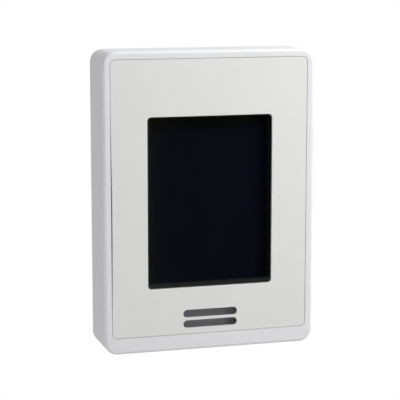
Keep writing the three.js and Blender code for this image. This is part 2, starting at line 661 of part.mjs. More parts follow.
function capacitor() {
  const front = onTerminals - CAPACITOR.tall;
  const footFront = onTerminals - CAPACITOR_FOOT.tall;
  const profile = [
    [0, footFront + CAPACITOR_FOOT.tall / 2],
    [CAPACITOR.radius - CAPACITOR.crimp, footFront + CAPACITOR_FOOT.tall / 2],
    [CAPACITOR.radius - CAPACITOR.crimp, footFront - CAPACITOR.crimp],
    [CAPACITOR.radius, footFront - 2 * CAPACITOR.crimp],
    [CAPACITOR.radius, front + CAPACITOR.crimp],
    [CAPACITOR.radius - CAPACITOR.crimp, front],
    [0, front],
  ];
  const points = profile.reverse().map(([radius, y]) => new THREE.Vector2(radius, y));
  const can = new THREE.LatheGeometry(points, ROUND_SIDES).translate(CAPACITOR.x, 0, CAPACITOR.z);
  const { size, corner } = CAPACITOR_FOOT;
  const foot = outline(size, size, corner, CAPACITOR.x, CAPACITOR.z);
  return joined(solid(can), [slab(foot, footFront, onTerminals)]);
}

function inductor() {
  const form = outline(INDUCTOR.size, INDUCTOR.size, INDUCTOR.edge, INDUCTOR.x, INDUCTOR.z);
  return softSlab(form, onTerminals - INDUCTOR.tall, onTerminals, INDUCTOR.edge / 2);
}

// The slide switch that ends the bus line, and its slider.
const switchFront = onTerminals - SWITCH.tall;
const sliderRestZ = SWITCH.z - SLIDER.travel / 2;

function endSwitch() {
  const body = block(
    around(SWITCH.x, SWITCH.width),
    [switchFront, onTerminals],
    around(SWITCH.z, SWITCH.height),
  );
  const run = SLIDER.size + 2 * SLIDER.foot + SLIDER.travel + 2 * GAP;
  const hollow = block(
    around(SWITCH.x, SWITCH.width - 2 * SWITCH.wall),
    [switchFront + SWITCH.wall, onTerminals - SWITCH.floor],
    around(SWITCH.z, run),
  );
  const slot = block(
    around(SWITCH.x, SLIDER.size + 2 * GAP),
    [switchFront - PAST, switchFront + PAST],
    around(SWITCH.z, SLIDER.size + SLIDER.travel + 2 * GAP),
  );
  return cut(solid(body), [hollow, slot]);
}

function endSlider() {
  const footFront = switchFront + SWITCH.wall + GAP;
  const foot = block(
    around(SWITCH.x, SLIDER.size),
    [footFront, footFront + SLIDER.foot],
    around(sliderRestZ, SLIDER.size + SLIDER.foot),
  );
  const stem = block(
    around(SWITCH.x, SLIDER.size),
    [switchFront - SLIDER.stem, footFront + SLIDER.foot / 2],
    around(sliderRestZ, SLIDER.size),
  );
  return joined(solid(foot), [stem]);
}

function lockScrew() {
  const top = LOCK.bottomZ + LOCK.length;
  const body = solid(rodZ(LOCK.radius, LOCK.bottomZ, top, LOCK.x, LOCK.y));
  return cut(body, [rodZ(LOCK.hex, LOCK.bottomZ - PAST, LOCK.bottomZ + LOCK.hexDepth, LOCK.x, LOCK.y, 6)]);
}

// ---- the assembly ----

place("housing", housing(), "shell");
place("fascia", fascia(), "panel");
place("display_lens", lens(), "glass");
place("touch_sensor", touchSensor(), "film");
place("touch_flex", touchTail(), "flex");
place("display_gasket", gasket(), "foam");
place("lcd_tray", tray(), "steel");
place("lcd_cell", slab(cellForm, cellFront, cellBack), "film");
place("backlight", backlight(), "diffuser");
place("lcd_flex", lcdTail(), "flex");
place("main_board", mainBoard(), "circuit");
place("lcd_connector", flexSocket(LCD_FLEX), "nylon");
place("touch_connector", flexSocket(TOUCH_FLEX), "nylon");
place("main_processor", chip(PROCESSOR, PROCESSOR.size, PROCESSOR.size), "blackPlastic");
place("memory_chip", chip(MEMORY, MEMORY.width, MEMORY.height), "blackPlastic");
place("radio_can", radioCan(), "steel");
place("beeper", beeper(), "blackPlastic");
place("cell_holder", cellHolder(), "nylon");
place("coin_cell", coinCell(), "steel");
place("climate_sensor", climateSensor(), "steel");
place("sensor_baffle", baffle(), "darkPlastic");
place("link_pins", linkPins(), "blackPlastic");
let count = 0;
for (const side of [-1, 1]) {
  for (const z of BOSS.z) {
    count += 1;
    const headTop = onBoard + SCREW.headHeight;
    const shank = BOARD.thickness + 2 * GAP + BOSS.holeDepth - GAP;
    place(`board_screw_${count}`, screw(headTop, -1, shank, side * BOSS.x, z), "steel");
  }
}

place("base_plate", basePlate(), "basePlastic");
place("terminal_board", terminalBoard(), "circuit");
place("terminal_header", terminalHeader(), "greenPlastic");
place("terminal_plug", terminalPlug(), "greenPlastic");
wayX.forEach((x, i) => place(`terminal_screw_${i + 1}`, terminalScrew(x), "steel"));
place("output_terminal", outputTerminal(), "greenPlastic");
place("link_socket", linkSocket(), "blackPlastic");
RELAY.z.forEach((z, i) => place(`relay_${i + 1}`, relay(z), "nylon"));
place("capacitor", capacitor(), "steel");
place("inductor", inductor(), "blackPlastic");
place("bus_end_switch", endSwitch(), "blackPlastic");
place("bus_end_slider", endSlider(), "nylon");
const baseHeadTop = onTerminals - SCREW.headHeight;
const baseShank = TERMINALS.thickness + 2 * GAP + POST.pilotDepth - GAP;
place("terminal_board_screw_1", screw(baseHeadTop, 1, baseShank, -POST.x, POST.z[1]), "steel");
place("terminal_board_screw_2", screw(baseHeadTop, 1, baseShank, POST.x, POST.z[0]), "steel");
place("lock_screw", lockScrew(), "steel");

export default group;
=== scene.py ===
"""The looks of a wall thermostat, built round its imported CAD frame.

Shapes are worked out in millimetres and made in metres, in the frame's own axes: +Z up, the front
towards -Y and the wall at y = 0. Places come from the boxes of the CAD nodes.
"""

import math
import random
from types import SimpleNamespace as Sizes

import bmesh
import bpy
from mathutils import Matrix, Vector

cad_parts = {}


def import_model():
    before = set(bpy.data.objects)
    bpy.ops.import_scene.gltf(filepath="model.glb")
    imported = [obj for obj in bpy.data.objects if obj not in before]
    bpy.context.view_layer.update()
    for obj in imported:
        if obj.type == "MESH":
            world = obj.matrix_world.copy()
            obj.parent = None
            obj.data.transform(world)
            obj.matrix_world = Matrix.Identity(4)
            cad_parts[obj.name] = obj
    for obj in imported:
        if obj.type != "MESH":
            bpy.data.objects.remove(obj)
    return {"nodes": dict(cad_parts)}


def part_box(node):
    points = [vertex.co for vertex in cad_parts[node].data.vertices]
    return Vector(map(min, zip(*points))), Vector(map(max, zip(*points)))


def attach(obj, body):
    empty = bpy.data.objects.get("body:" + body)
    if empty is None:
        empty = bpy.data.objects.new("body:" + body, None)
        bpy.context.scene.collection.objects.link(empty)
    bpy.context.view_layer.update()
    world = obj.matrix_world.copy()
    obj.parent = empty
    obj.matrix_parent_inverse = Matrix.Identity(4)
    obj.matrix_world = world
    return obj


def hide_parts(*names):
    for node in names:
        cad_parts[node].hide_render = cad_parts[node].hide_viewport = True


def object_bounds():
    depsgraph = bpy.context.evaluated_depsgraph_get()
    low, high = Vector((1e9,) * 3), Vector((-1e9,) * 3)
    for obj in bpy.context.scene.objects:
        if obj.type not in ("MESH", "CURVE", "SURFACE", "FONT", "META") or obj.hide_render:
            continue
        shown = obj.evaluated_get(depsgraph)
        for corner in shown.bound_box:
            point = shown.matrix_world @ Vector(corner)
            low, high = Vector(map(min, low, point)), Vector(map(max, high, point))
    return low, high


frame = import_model()
cad_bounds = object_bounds()

MM = 0.001

# ---- sizes in mm that the boxes of the CAD nodes don't give ----

CASE = Sizes(corner=5.3, fillet=1.3, wall=2.0, rear_edge=0.25)
SEAM = 0.25
LEDGE = Sizes(support=1.6, thickness=1.3, corner=1.5, notch=29.0, notch_z=-52.9)
FASCIA = Sizes(corner=1.8, edge=0.13, thickness=2.0, corner_steps=10, side_steps=24)
# The moulded panel sits closer to the frame than its nominal seam, and its left side bows inwards.
SNUG = Sizes(left=0.13, right=0.06, top=0.11, bottom=0.1)
BOW = Sizes(depth=0.38, z=-8.0, reach=45.0)
WINDOW = Sizes(width=51.5, height=68.6, corner=1.5, edge=0.16)
VENT = Sizes(width=22.5, height=3.15, z=(-49.35, -45.1), lip=0.9, edge=0.14)
RIB = Sizes(width=60.0, height=79.4, wall=1.2, depth=2.0)
LENS = Sizes(corner=1.2, edge=0.2)
BAFFLE = Sizes(wall=2.0, floor=1.0, port=3.1, ramp=2.6, ramp_depth=0.75)
# Each bar's place from the port's left side, its width, and how far it lies below the floor.
PORT_BARS = ((0.3, 0.6, 0.3), (1.1, 0.6, 0.4), (1.9, 0.45, 0.5), (2.6, 0.3, 0.6))
BOSS = Sizes(x=34.5, z=(49.0, -34.0), radius=2.6, hole=1.45, depth=3.4)
CATCH = Sizes(x=24.0, width=12.0, front=-8.3, thickness=1.4, z=56.4)
LOCK = Sizes(y=-8.0, hole=1.9, hex=0.95, hex_depth=1.6)
POST_X, POST_Z = 33.5, (-8.5, -31.5)
PLATE = Sizes(dimple=2.3, dimple_depth=0.12, pocket=0.6, core=1.3, core_depth=0.5, groove=0.35)
DIMPLES = ((34, 50), (-34, 50), (35, 24), (-35, 24), (19, -50), (-19, -50), (36, -50), (-36, -50))
POCKET = Sizes(width=24.0, height=26.0, corner=2.5, x=14.5, z=-21.0)
CABLE_HOLE = Sizes(size=28.0, corner=3.0, z=22.0)
UP_ARROW = ((-1, 46), (1, 46), (1, 50), (3, 50), (0, 54), (-3, 50), (-1, 50))
SIDE_RIB = Sizes(z=(30.0, 8.0, -14.0), proud=0.5, half=0.4, back=-7.0)
LINK = Sizes(x=-2.0, z=-28.0, pitch=2.54, ways=7, strip=2.5, pin=0.64)
# How many leads stand on each side, their pitch and, where it differs, their width.
PROCESSOR_LEADS = (20, 0.5)
MEMORY_LEADS = (8, 0.95, 0.36)
OUTPUT = Sizes(ways=7, pitch=3.5, half_lever=1.15)
SCREW = Sizes(head=2.2, shank=1.1, tall=1.5, thread=0.26, pitch=0.6)
PAD = Sizes(inner=1.6, outer=3.1, raised=0.05, sides=36)
CAPACITOR = Sizes(radius=3.15, foot=0.9, vent=1.6)
WINDING = Sizes(turns=5, pitch=0.38, radius=0.18, sides=40)
GAP = 0.3  # between neighbouring solids
PAST = 1.0  # how far a cutter reaches past what it cuts

# ---- mesh helpers: a form is (vertices in mm, faces) ----


class Box:
    """The box of a CAD node, in mm."""

    def __init__(self, node):
        low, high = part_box(node)
        self.left, self.front, self.bottom = (v / MM for v in low)
        self.right, self.back, self.top = (v / MM for v in high)
        self.middle = self.x, self.z = (self.left + self.right) / 2, (self.bottom + self.top) / 2
        self.size = self.width, self.height = self.right - self.left, self.top - self.bottom
        self.sides = (self.left, self.right, self.front, self.back, self.bottom, self.top)


def outline(width, height, corner, cx=0.0, cz=0.0, steps=8):
    """Points of a rounded rectangle in x and z."""
    corner = max(corner, 0.01)
    points = []
    for quarter, (sx, sz) in enumerate(((1, -1), (1, 1), (-1, 1), (-1, -1))):
        x = cx + sx * (width / 2 - corner)
        z = cz + sz * (height / 2 - corner)
        for i in range(steps + 1):
            angle = (quarter - 1 + i / steps) * math.pi / 2
            points.append((x + corner * math.cos(angle), z + corner * math.sin(angle)))
    return points


def skin(rings, loop=False):
    """A closed form through rings of points with equal counts, capped at both ends unless it is a loop."""
    count = len(rings[0])
    verts = [p for ring in rings for p in ring]
    faces = []
    last = len(rings) if loop else len(rings) - 1
    for r in range(last):
        a = r * count
        b = ((r + 1) % len(rings)) * count
        for i in range(count):
            j = (i + 1) % count
            faces.append((a + i, a + j, b + j, b + i))
    if not loop:
        faces.append(tuple(reversed(range(count))))
        faces.append(tuple(range(len(verts) - count, len(verts))))
    return verts, faces


def merge(*forms):
    """Several closed forms as one, not joined."""
    verts, faces = [], []
    for v, f in forms:
        start = len(verts)
        verts += list(v)
        faces += [tuple(i + start for i in face) for face in f]
    return verts, faces


def stack(profile, width, height, corner, cx=0.0, cz=0.0, steps=8):
    """A solid through rounded rectangles; profile holds (offset outwards, y) from front to back."""
    return skin(
        [
            [(x, y, z) for x, z in outline(width + 2 * o, height + 2 * o, corner + o, cx, cz, steps)]
            for o, y in profile
        ]
    )


def quarter_turn(steps):
    return [i / steps * math.pi / 2 for i in range(steps + 1)]


def soft(front, back, edge, steps=3):
    """The profile of a slab with both faces' edges rounded."""
    turn = quarter_turn(steps)
    near = [(-edge * (1 - math.sin(t)), front + edge * (1 - math.cos(t))) for t in turn]
    far = [(-edge * (1 - math.sin(t)), back - edge * (1 - math.cos(t))) for t in reversed(turn)]
    return near + far


def flare(front, back, edge):
    """The profile of a hole's cutter, whose front rim is rounded outwards by edge."""
    rim = [(edge * (1 - math.sin(t)), front + edge * (1 - math.cos(t))) for t in quarter_turn(4)]
    return [(edge, front - PAST)] + rim + [(0.0, back)]


def block(x0, x1, y0, y1, z0, z1):
    corners = [(x0, z0), (x1, z0), (x1, z1), (x0, z1)]
    return skin([[(x, y, z) for x, z in corners] for y in (y0, y1)])


def soft_block(x0, x1, y0, y1, z0, z1, edge=0.15, steps=2):
    return stack(
        soft(y0, y1, edge, steps), x1 - x0, z1 - z0, edge * 1.2, (x0 + x1) / 2, (z0 + z1) / 2, 2 * steps
    )


def circle(radius, along, centre, axis="Y", sides=40):
    """Points round the axis, at that distance along it."""
    points = []
    for i in range(sides):
        a = 2 * math.pi * i / sides
        u, v = centre[0] + radius * math.cos(a), centre[1] + radius * math.sin(a)
        points.append((u, along, v) if axis == "Y" else (u, v, along))
    return points


def lathe(profile, centre, axis="Y", sides=40):
    """A turned form; profile holds (radius, distance along the axis), and starts and ends at radius 0."""
    return skin([circle(max(radius, 1e-3), along, centre, axis, sides) for radius, along in profile])


def rod(radius, start, end, centre, axis="Y", sides=40):
    return lathe([(radius, start), (radius, end)], centre, axis, sides)


def placed(name, data):
    """A new object in the scene."""
    thing = bpy.data.objects.new(name, data)
    bpy.context.scene.collection.objects.link(thing)
    return thing


def temporary(form):
    mesh = bpy.data.meshes.new("temporary")
    mesh.from_pydata(form[0], [], form[1])
    tidy_mesh(mesh, 1e-4)
    return placed("temporary", mesh)


def tidy_mesh(mesh, distance):
    bm = bmesh.new()
    bm.from_mesh(mesh)
    bmesh.ops.remove_doubles(bm, verts=bm.verts, dist=distance)
    bmesh.ops.recalc_face_normals(bm, faces=bm.faces)
    bm.to_mesh(mesh)
    bm.free()


def boolean(form, tools, operation):
    thing = temporary(form)
    for tool_form in tools:
        tool = temporary(tool_form)
        change = thing.modifiers.new("change", "BOOLEAN")
        change.operation = operation
        change.solver = "EXACT"
        change.object = tool
        found = bpy.context.evaluated_depsgraph_get()
        mesh = bpy.data.meshes.new_from_object(thing.evaluated_get(found))
        thing.modifiers.clear()
        thing.data = mesh
        bpy.data.objects.remove(tool)
    verts = [tuple(v.co) for v in thing.data.vertices]
    faces = [tuple(p.vertices) for p in thing.data.polygons]
    bpy.data.objects.remove(thing)
    return verts, faces


def cut(form, *tools):
    return boolean(form, tools, "DIFFERENCE")


def join(form, *others):
    return boolean(form, others, "UNION")


def from_cad(node, edge=0.0, steps=2, angle=35.0):
    """The CAD node's own shape, with its flat faces whole and its edges rounded."""
    bm = bmesh.new()
    bm.from_mesh(frame["nodes"][node].data)
    bmesh.ops.scale(bm, vec=(1 / MM,) * 3, verts=bm.verts)
    bmesh.ops.remove_doubles(bm, verts=bm.verts, dist=1e-3)
    bmesh.ops.dissolve_limit(bm, angle_limit=math.radians(0.5), verts=bm.verts, edges=bm.edges)
    if edge:
        limit = math.radians(angle)
        sharp = [e for e in bm.edges if len(e.link_faces) == 2 and e.calc_face_angle(0) > limit]
        bmesh.ops.bevel(
            bm, geom=sharp, offset=edge, segments=steps, profile=0.5, affect="EDGES", clamp_overlap=True
        )
    bm.verts.index_update()
    verts = [tuple(v.co) for v in bm.verts]
    faces = [tuple(v.index for v in f.verts) for f in bm.faces]
    bm.free()
    return verts, faces


def make(name, form, body, slot, finish=None, stands_for=None, angle=32.0):
    mesh = bpy.data.meshes.new(name)
    mesh.from_pydata([[c * MM for c in v] for v in form[0]], [], form[1])
    tidy_mesh(mesh, 1e-7)
    mesh.polygons.foreach_set("use_smooth", [True] * len(mesh.polygons))
    mesh.set_sharp_from_angle(angle=math.radians(angle))
    mesh.materials.append((finish or finishes[slot]).material)
    thing = placed(name, mesh)
    thing.modifiers.new("weigh", "WEIGHTED_NORMAL").keep_sharp = True
    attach(thing, body)
    if stands_for:
        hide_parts(stands_for)


def stand_in(node, form, body, slot, name=None):
    """A piece in a CAD node's place, with the node's name unless it is given another."""
    make(name or node.capitalize(), form, body, slot, stands_for=node)


def carried(node, body, slot, edge, steps=2, angle=35.0, name=None):
    """A piece with the CAD node's own shape and rounded edges."""
    stand_in(node, from_cad(node, edge, steps, angle), body, slot, name)


# ---- material helpers ----


WAVE_SCALE = 0.314  # turns a band's pitch into the wave texture's own scale


class Tree:
    """A node tree, with a short way to fill it."""

    def __init__(self, owner):
        owner.use_nodes = True
        self.nodes, self.links = owner.node_tree.nodes, owner.node_tree.links

    def feed(self, socket, value):
        """Joins another node's output to a socket, or gives the socket a plain value."""
        if isinstance(value, bpy.types.NodeSocket):
            self.links.new(value, socket)
        elif value is not None:
            socket.default_value = (*value, 1) if socket.type == "RGBA" else value

    def node(self, kind, inputs=(), **settings):
        """A new node; inputs holds pairs of a socket and what feeds it."""
        made = self.nodes.new("ShaderNode" + kind)
        for key, value in settings.items():
            setattr(made, key, value)
        for key, value in inputs:
            self.feed(made.inputs[key], value)
        return made


class Finish(Tree):
    """A procedural material on one Principled shader, in object coordinates (metres)."""

    def __init__(self, name, colour, roughness, metallic=0.0):
        self.material = bpy.data.materials.new(name)
        super().__init__(self.material)
        self.shader = self.nodes["Principled BSDF"].inputs
        self.colour(colour)
        self.roughness(roughness)
        self.feed(self.shader["Metallic"], metallic)
        self.place = self.node("TexCoord").outputs["Object"]

    def colour(self, value):
        self.feed(self.shader["Base Color"], value)

    def roughness(self, value):
        self.feed(self.shader["Roughness"], value)

    def texture(self, kind, per_mm, vector, inputs, **settings):
        """The outputs of a texture that repeats that many times in a millimetre."""
        pairs = [("Vector", vector or self.place), ("Scale", per_mm / MM), *inputs]
        return self.node(kind, pairs, **settings).outputs

    def stretched(self, scale):
        return self.node("Mapping", [("Vector", self.place), ("Scale", scale)]).outputs["Vector"]

    def noise(self, size_mm, detail=3.0, rough=0.55, vector=None):
        inputs = [("Detail", detail), ("Roughness", rough)]
        return self.texture("TexNoise", 1 / size_mm, vector, inputs)["Fac"]

    def cells(self, size_mm, vector=None, random_place=1.0):
        return self.texture("TexVoronoi", 1 / size_mm, vector, [("Randomness", random_place)])["Distance"]

    def bands(self, size_mm, direction="X", distortion=0.0, profile="SIN"):
        settings = {"bands_direction": direction, "wave_profile": profile}
        inputs = [("Distortion", distortion)]
        return self.texture("TexWave", WAVE_SCALE / size_mm, None, inputs, **settings)["Fac"]

    def ramp(self, value, stops):
        """A colour or grey ramp; stops are (place, colour or number)."""
        made = self.node("ValToRGB", [("Fac", value)])
        elements = made.color_ramp.elements
        while len(elements) < len(stops):
            elements.new(0.5)
        for element, (position, colour) in zip(elements, stops):
            element.position = position
            element.color = (*colour, 1) if hasattr(colour, "__len__") else (colour, colour, colour, 1)
        return made.outputs["Color"]

    def math(self, operation, a, b):
        return self.node("Math", enumerate((a, b)), operation=operation).outputs[0]

    def mix(self, factor, a, b, blend="MIX"):
        inputs = zip((0, 6, 7), (factor, a, b))
        return self.node("Mix", inputs, data_type="RGBA", blend_type=blend).outputs[2]

    def from_side(self, axis, side, way, reach):
        """How far a point is from a side at that place on the axis, in mm, as a share of reach."""
        place = self.node("SeparateXYZ", [(0, self.place)]).outputs[axis]
        return self.math("MULTIPLY", self.math("SUBTRACT", place, side * MM), way / (reach * MM))

    def tint(self, dark, light, size_mm, detail=3.0):
        """Base colour that drifts between two tones."""
        self.colour(self.ramp(self.noise(size_mm, detail), [(0.35, dark), (0.65, light)]))

    def wear(self, low, high, size_mm):
        """Roughness that varies between two values."""
        self.roughness(self.ramp(self.noise(size_mm, 5.0), [(0.3, low), (0.7, high)]))

    def bump(self, height, depth_mm, strength=1.0, before=None):
        inputs = [("Height", height), ("Distance", depth_mm * MM), ("Strength", strength)]
        normal = self.node("Bump", inputs + [("Normal", before)]).outputs["Normal"]
        self.feed(self.shader["Normal"], normal)
        return normal


def shade(colour, factor):
    return tuple(c * factor for c in colour)


def moulded(name, colour, roughness, grain_mm, depth_mm, drift):
    """Injection-moulded plastic: faint colour drift, spark-eroded grain and a slow sink-mark waviness."""
    made = Finish(name, colour, roughness)
    made.tint(shade(colour, 1 - drift), shade(colour, 1 + drift * 0.5), 14, 2)
    made.wear(roughness - 0.05, roughness + 0.06, 4)
    first = made.bump(made.noise(25, 1), 0.05, 0.35)
    made.bump(made.noise(grain_mm, 2, 0.6), depth_mm, 0.6, first)
    return made


def brushed(name, colour, roughness, along=(1, 40, 40)):
    """Metal with fine drawing lines and a few stains; along stretches the lines."""
    made = Finish(name, colour, roughness, 1.0)
    lines = made.noise(3, 4, 0.7, made.stretched(along))
    made.colour(made.mix(made.noise(3, 3), shade(colour, 0.86), shade(colour, 1.06)))
    made.roughness(made.ramp(lines, [(0.25, roughness - 0.08), (0.75, roughness + 0.12)]))
    made.bump(lines, 0.004, 0.6)
    return made


def circuit(name, mask, copper):
    """Solder mask over copper tracks, with vias."""
    made = Finish(name, mask, 0.4)
    across = made.bands(1.27, "X", 1.5)
    upright = made.bands(1.9, "Z", 2.2)
    region = made.cells(9)
    lines = made.mix(made.ramp(region, [(0.4, 0.0), (0.45, 1.0)]), across, upright)
    tracks = made.math("GREATER_THAN", lines, 0.62)
    spots = made.cells(2.54, made.stretched((1, 0, 1)), 0.85)
    via = made.math("LESS_THAN", spots, 0.11)
    rim = made.math("LESS_THAN", spots, 0.2)
    under = made.mix(tracks, mask, copper)
    ringed = made.mix(rim, under, (0.62, 0.47, 0.2))
    made.colour(made.mix(via, ringed, (0.02, 0.03, 0.02)))
    made.wear(0.3, 0.45, 3)
    first = made.bump(tracks, 0.03, 0.6)
    made.bump(made.noise(0.6, 2), 0.01, 0.5, first)
    return made


WHITE_SHELL = (0.80, 0.80, 0.81)
FASCIA_TONE = (0.77, 0.775, 0.75)
BASE_TONE = (0.74, 0.74, 0.72)

finishes = {}


def keep(slot, finish):
    finishes[slot] = finish
    return finish


keep("shell_white", moulded("Moulded shell", WHITE_SHELL, 0.4, 0.5, 0.004, 0.012))
keep("fascia_grey", moulded("Textured fascia", FASCIA_TONE, 0.52, 0.28, 0.012, 0.012))
keep("base_plastic", moulded("Base plastic", BASE_TONE, 0.5, 0.4, 0.01, 0.014))
keep("baffle_grey", moulded("Baffle plastic", (0.19, 0.189, 0.208), 0.6, 0.4, 0.015, 0.06))
keep("nylon_natural", moulded("Natural nylon", (0.68, 0.64, 0.53), 0.42, 0.5, 0.006, 0.05))
keep("terminal_green", moulded("Terminal green", (0.035, 0.27, 0.085), 0.38, 0.45, 0.008, 0.1))
keep("relay_cream", moulded("Relay case", (0.66, 0.60, 0.46), 0.4, 0.45, 0.006, 0.05))
keep("pressed_steel", brushed("Pressed steel", (0.6, 0.61, 0.62), 0.34))
keep("can_aluminium", brushed("Drawn aluminium", (0.72, 0.73, 0.74), 0.3, (1, 30, 1)))
keep("circuit_green", circuit("Solder mask", (0.008, 0.10, 0.035), (0.02, 0.2, 0.07)))

keep("chip_black", moulded("Moulded epoxy", (0.018, 0.018, 0.019), 0.5, 0.12, 0.006, 0.2))

screw_finish = keep("screw_steel", Finish("Zinc-plated steel", (0.62, 0.63, 0.64), 0.3, 1.0))
screw_finish.tint((0.5, 0.5, 0.5), (0.68, 0.68, 0.66), 1.2)
screw_finish.wear(0.22, 0.45, 0.7)
screw_finish.bump(screw_finish.noise(0.15, 2), 0.004, 0.6)

foam = keep("foam_black", Finish("Closed-cell foam", (0.02, 0.02, 0.021), 0.95))
foam.tint((0.012, 0.012, 0.013), (0.03, 0.03, 0.03), 0.6)
foam.wear(0.88, 0.98, 0.5)
foam.bump(foam.cells(0.35), 0.12, 0.9)

diffuser = keep("diffuser_white", Finish("Light guide", (0.82, 0.83, 0.84), 0.45))
dots = diffuser.cells(0.9, diffuser.stretched((1, 0, 1)), 0.0)
diffuser.colour(diffuser.ramp(dots, [(0.28, (0.9, 0.9, 0.9)), (0.34, (0.74, 0.76, 0.78))]))
diffuser.wear(0.35, 0.55, 3)
diffuser.bump(dots, 0.02, 0.5)

flex = keep("flex_amber", Finish("Polyimide tail", (0.45, 0.19, 0.03), 0.35))
stripes = flex.bands(0.5, "X")
flex.colour(flex.ramp(stripes, [(0.45, (0.4, 0.16, 0.025)), (0.55, (0.62, 0.33, 0.08))]))
flex.wear(0.25, 0.42, 2)
flex.bump(stripes, 0.01, 0.6)

film = keep("touch_film", Finish("Touch film", (0.02, 0.021, 0.024), 0.16))
grid = film.math("MAXIMUM", film.bands(2.2, "X", 0, "TRI"), film.bands(2.2, "Z", 0, "TRI"))
film.colour(film.ramp(grid, [(0.93, (0.016, 0.017, 0.02)), (0.97, (0.05, 0.052, 0.056))]))
film.wear(0.12, 0.22, 6)
film.bump(film.noise(9, 2), 0.01, 0.3)

cell_finish = keep("display_glass", Finish("Display cell", (0.03, 0.033, 0.036), 0.12))
lines = cell_finish.bands(0.35, "Z")
cell_finish.colour(cell_finish.ramp(lines, [(0.4, (0.022, 0.026, 0.03)), (0.6, (0.04, 0.042, 0.044))]))
cell_finish.wear(0.08, 0.18, 7)
cell_finish.bump(cell_finish.noise(12, 2), 0.01, 0.3)

# The cover glass over the dark display: the tone of the display itself, then painted shade near the top and
# right edges of the window, painted highlights near its left and right edges, a painted reflection along
# its foot that faint dust breaks up, and faint smears.
# How far in from the window's edges the painted shade, highlights and reflection reach, in mm.
PAINTED_EDGE_REACH = 12.0
glass = keep("cover_glass", Finish("Cover glass", (0.003, 0.0035, 0.006), 0.06))
pane = Box("display_lens")
left_side = glass.from_side("X", pane.left, 1, PAINTED_EDGE_REACH)
right_side = glass.from_side("X", pane.right, -1, PAINTED_EDGE_REACH)
bottom_side = glass.from_side("Z", pane.bottom, 1, PAINTED_EDGE_REACH)
top_side = glass.from_side("Z", pane.top, -1, PAINTED_EDGE_REACH)
deep = glass.ramp(glass.noise(30, 1), [(0.3, (0.0029, 0.0035, 0.0068)), (0.7, (0.0035, 0.0043, 0.0082))])
# Painted shade: the glass is darker and warmer near the top edge of the window.
painted_shade_top = glass.ramp(top_side, [(0.15, (0.7, 0.6, 0.25)), (0.6, 1.0)])
# Painted shade: the glass is much darker near the right edge of the window.
painted_shade_right_stops = [(0.16, (0.08, 0.06, 0.08)), (0.24, (0.4, 0.25, 0.5)), (0.4, (0.6, 0.5, 0.75)), (0.7, 1.0)]
painted_shade_right = glass.ramp(right_side, painted_shade_right_stops)
# Painted highlight: the glass is lighter and warm near the left edge of the window, and a thin light band
# lies just in from its right edge.
painted_highlight_left_stops = [(0.03, (0.005, 0.0045, 0.003)), (0.2, (0.0018, 0.0014, 0.0)), (1.0, 0.0)]
painted_highlight_left = glass.ramp(left_side, painted_highlight_left_stops)
painted_highlight_right = glass.ramp(right_side, [(0.04, 0.0), (0.1, 0.0042), (0.18, 0.0)])
# Faint dust breaks up the painted reflection along the foot of the window.
dust_on_painted_reflection = glass.ramp(glass.noise(5, 3), [(0.3, 0.85), (0.7, 1.1)])
# Painted reflection: a light band along the foot of the window.
painted_reflection_foot_stops = [(0.09, (0.0165, 0.0172, 0.013)), (0.13, (0.0125, 0.013, 0.01)), (0.19, 0.0)]
painted_reflection_foot = glass.ramp(bottom_side, painted_reflection_foot_stops)
# The painted shade darkens the display's tone, and the painted highlights and the painted reflection are
# added to it.
tone = glass.mix(1.0, glass.mix(1.0, deep, painted_shade_top, "MULTIPLY"), painted_shade_right, "MULTIPLY")
for glow in (painted_highlight_left, painted_highlight_right, glass.mix(1.0, painted_reflection_foot, dust_on_painted_reflection, "MULTIPLY")):
    tone = glass.mix(1.0, tone, glow, "ADD")
glass.colour(tone)
glass.roughness(glass.ramp(glass.noise(11, 4, 0.6), [(0.35, 0.045), (0.75, 0.1)]))
glass.bump(glass.noise(40, 1), 0.03, 0.2)

gold = brushed("Gold contact", (0.78, 0.55, 0.24), 0.28, (20, 1, 20))
tin = brushed("Tinned lead", (0.68, 0.68, 0.67), 0.34, (8, 8, 8))
brass = brushed("Brass clamp", (0.62, 0.46, 0.2), 0.33, (10, 10, 1))
ceramic = moulded("Ceramic chip", (0.34, 0.22, 0.13), 0.45, 0.1, 0.005, 0.15)
resistor = moulded("Resistor film", (0.02, 0.02, 0.024), 0.3, 0.1, 0.004, 0.2)
lever = moulded("Lever orange", (0.62, 0.2, 0.03), 0.4, 0.3, 0.008, 0.08)
dark_latch = moulded("Dark latch", (0.03, 0.028, 0.026), 0.45, 0.2, 0.006, 0.15)

# ---- the cover ----


def ring_of(rect, y, steps=10):
    return [(x, y, z) for x, z in outline(*rect, steps=steps)]


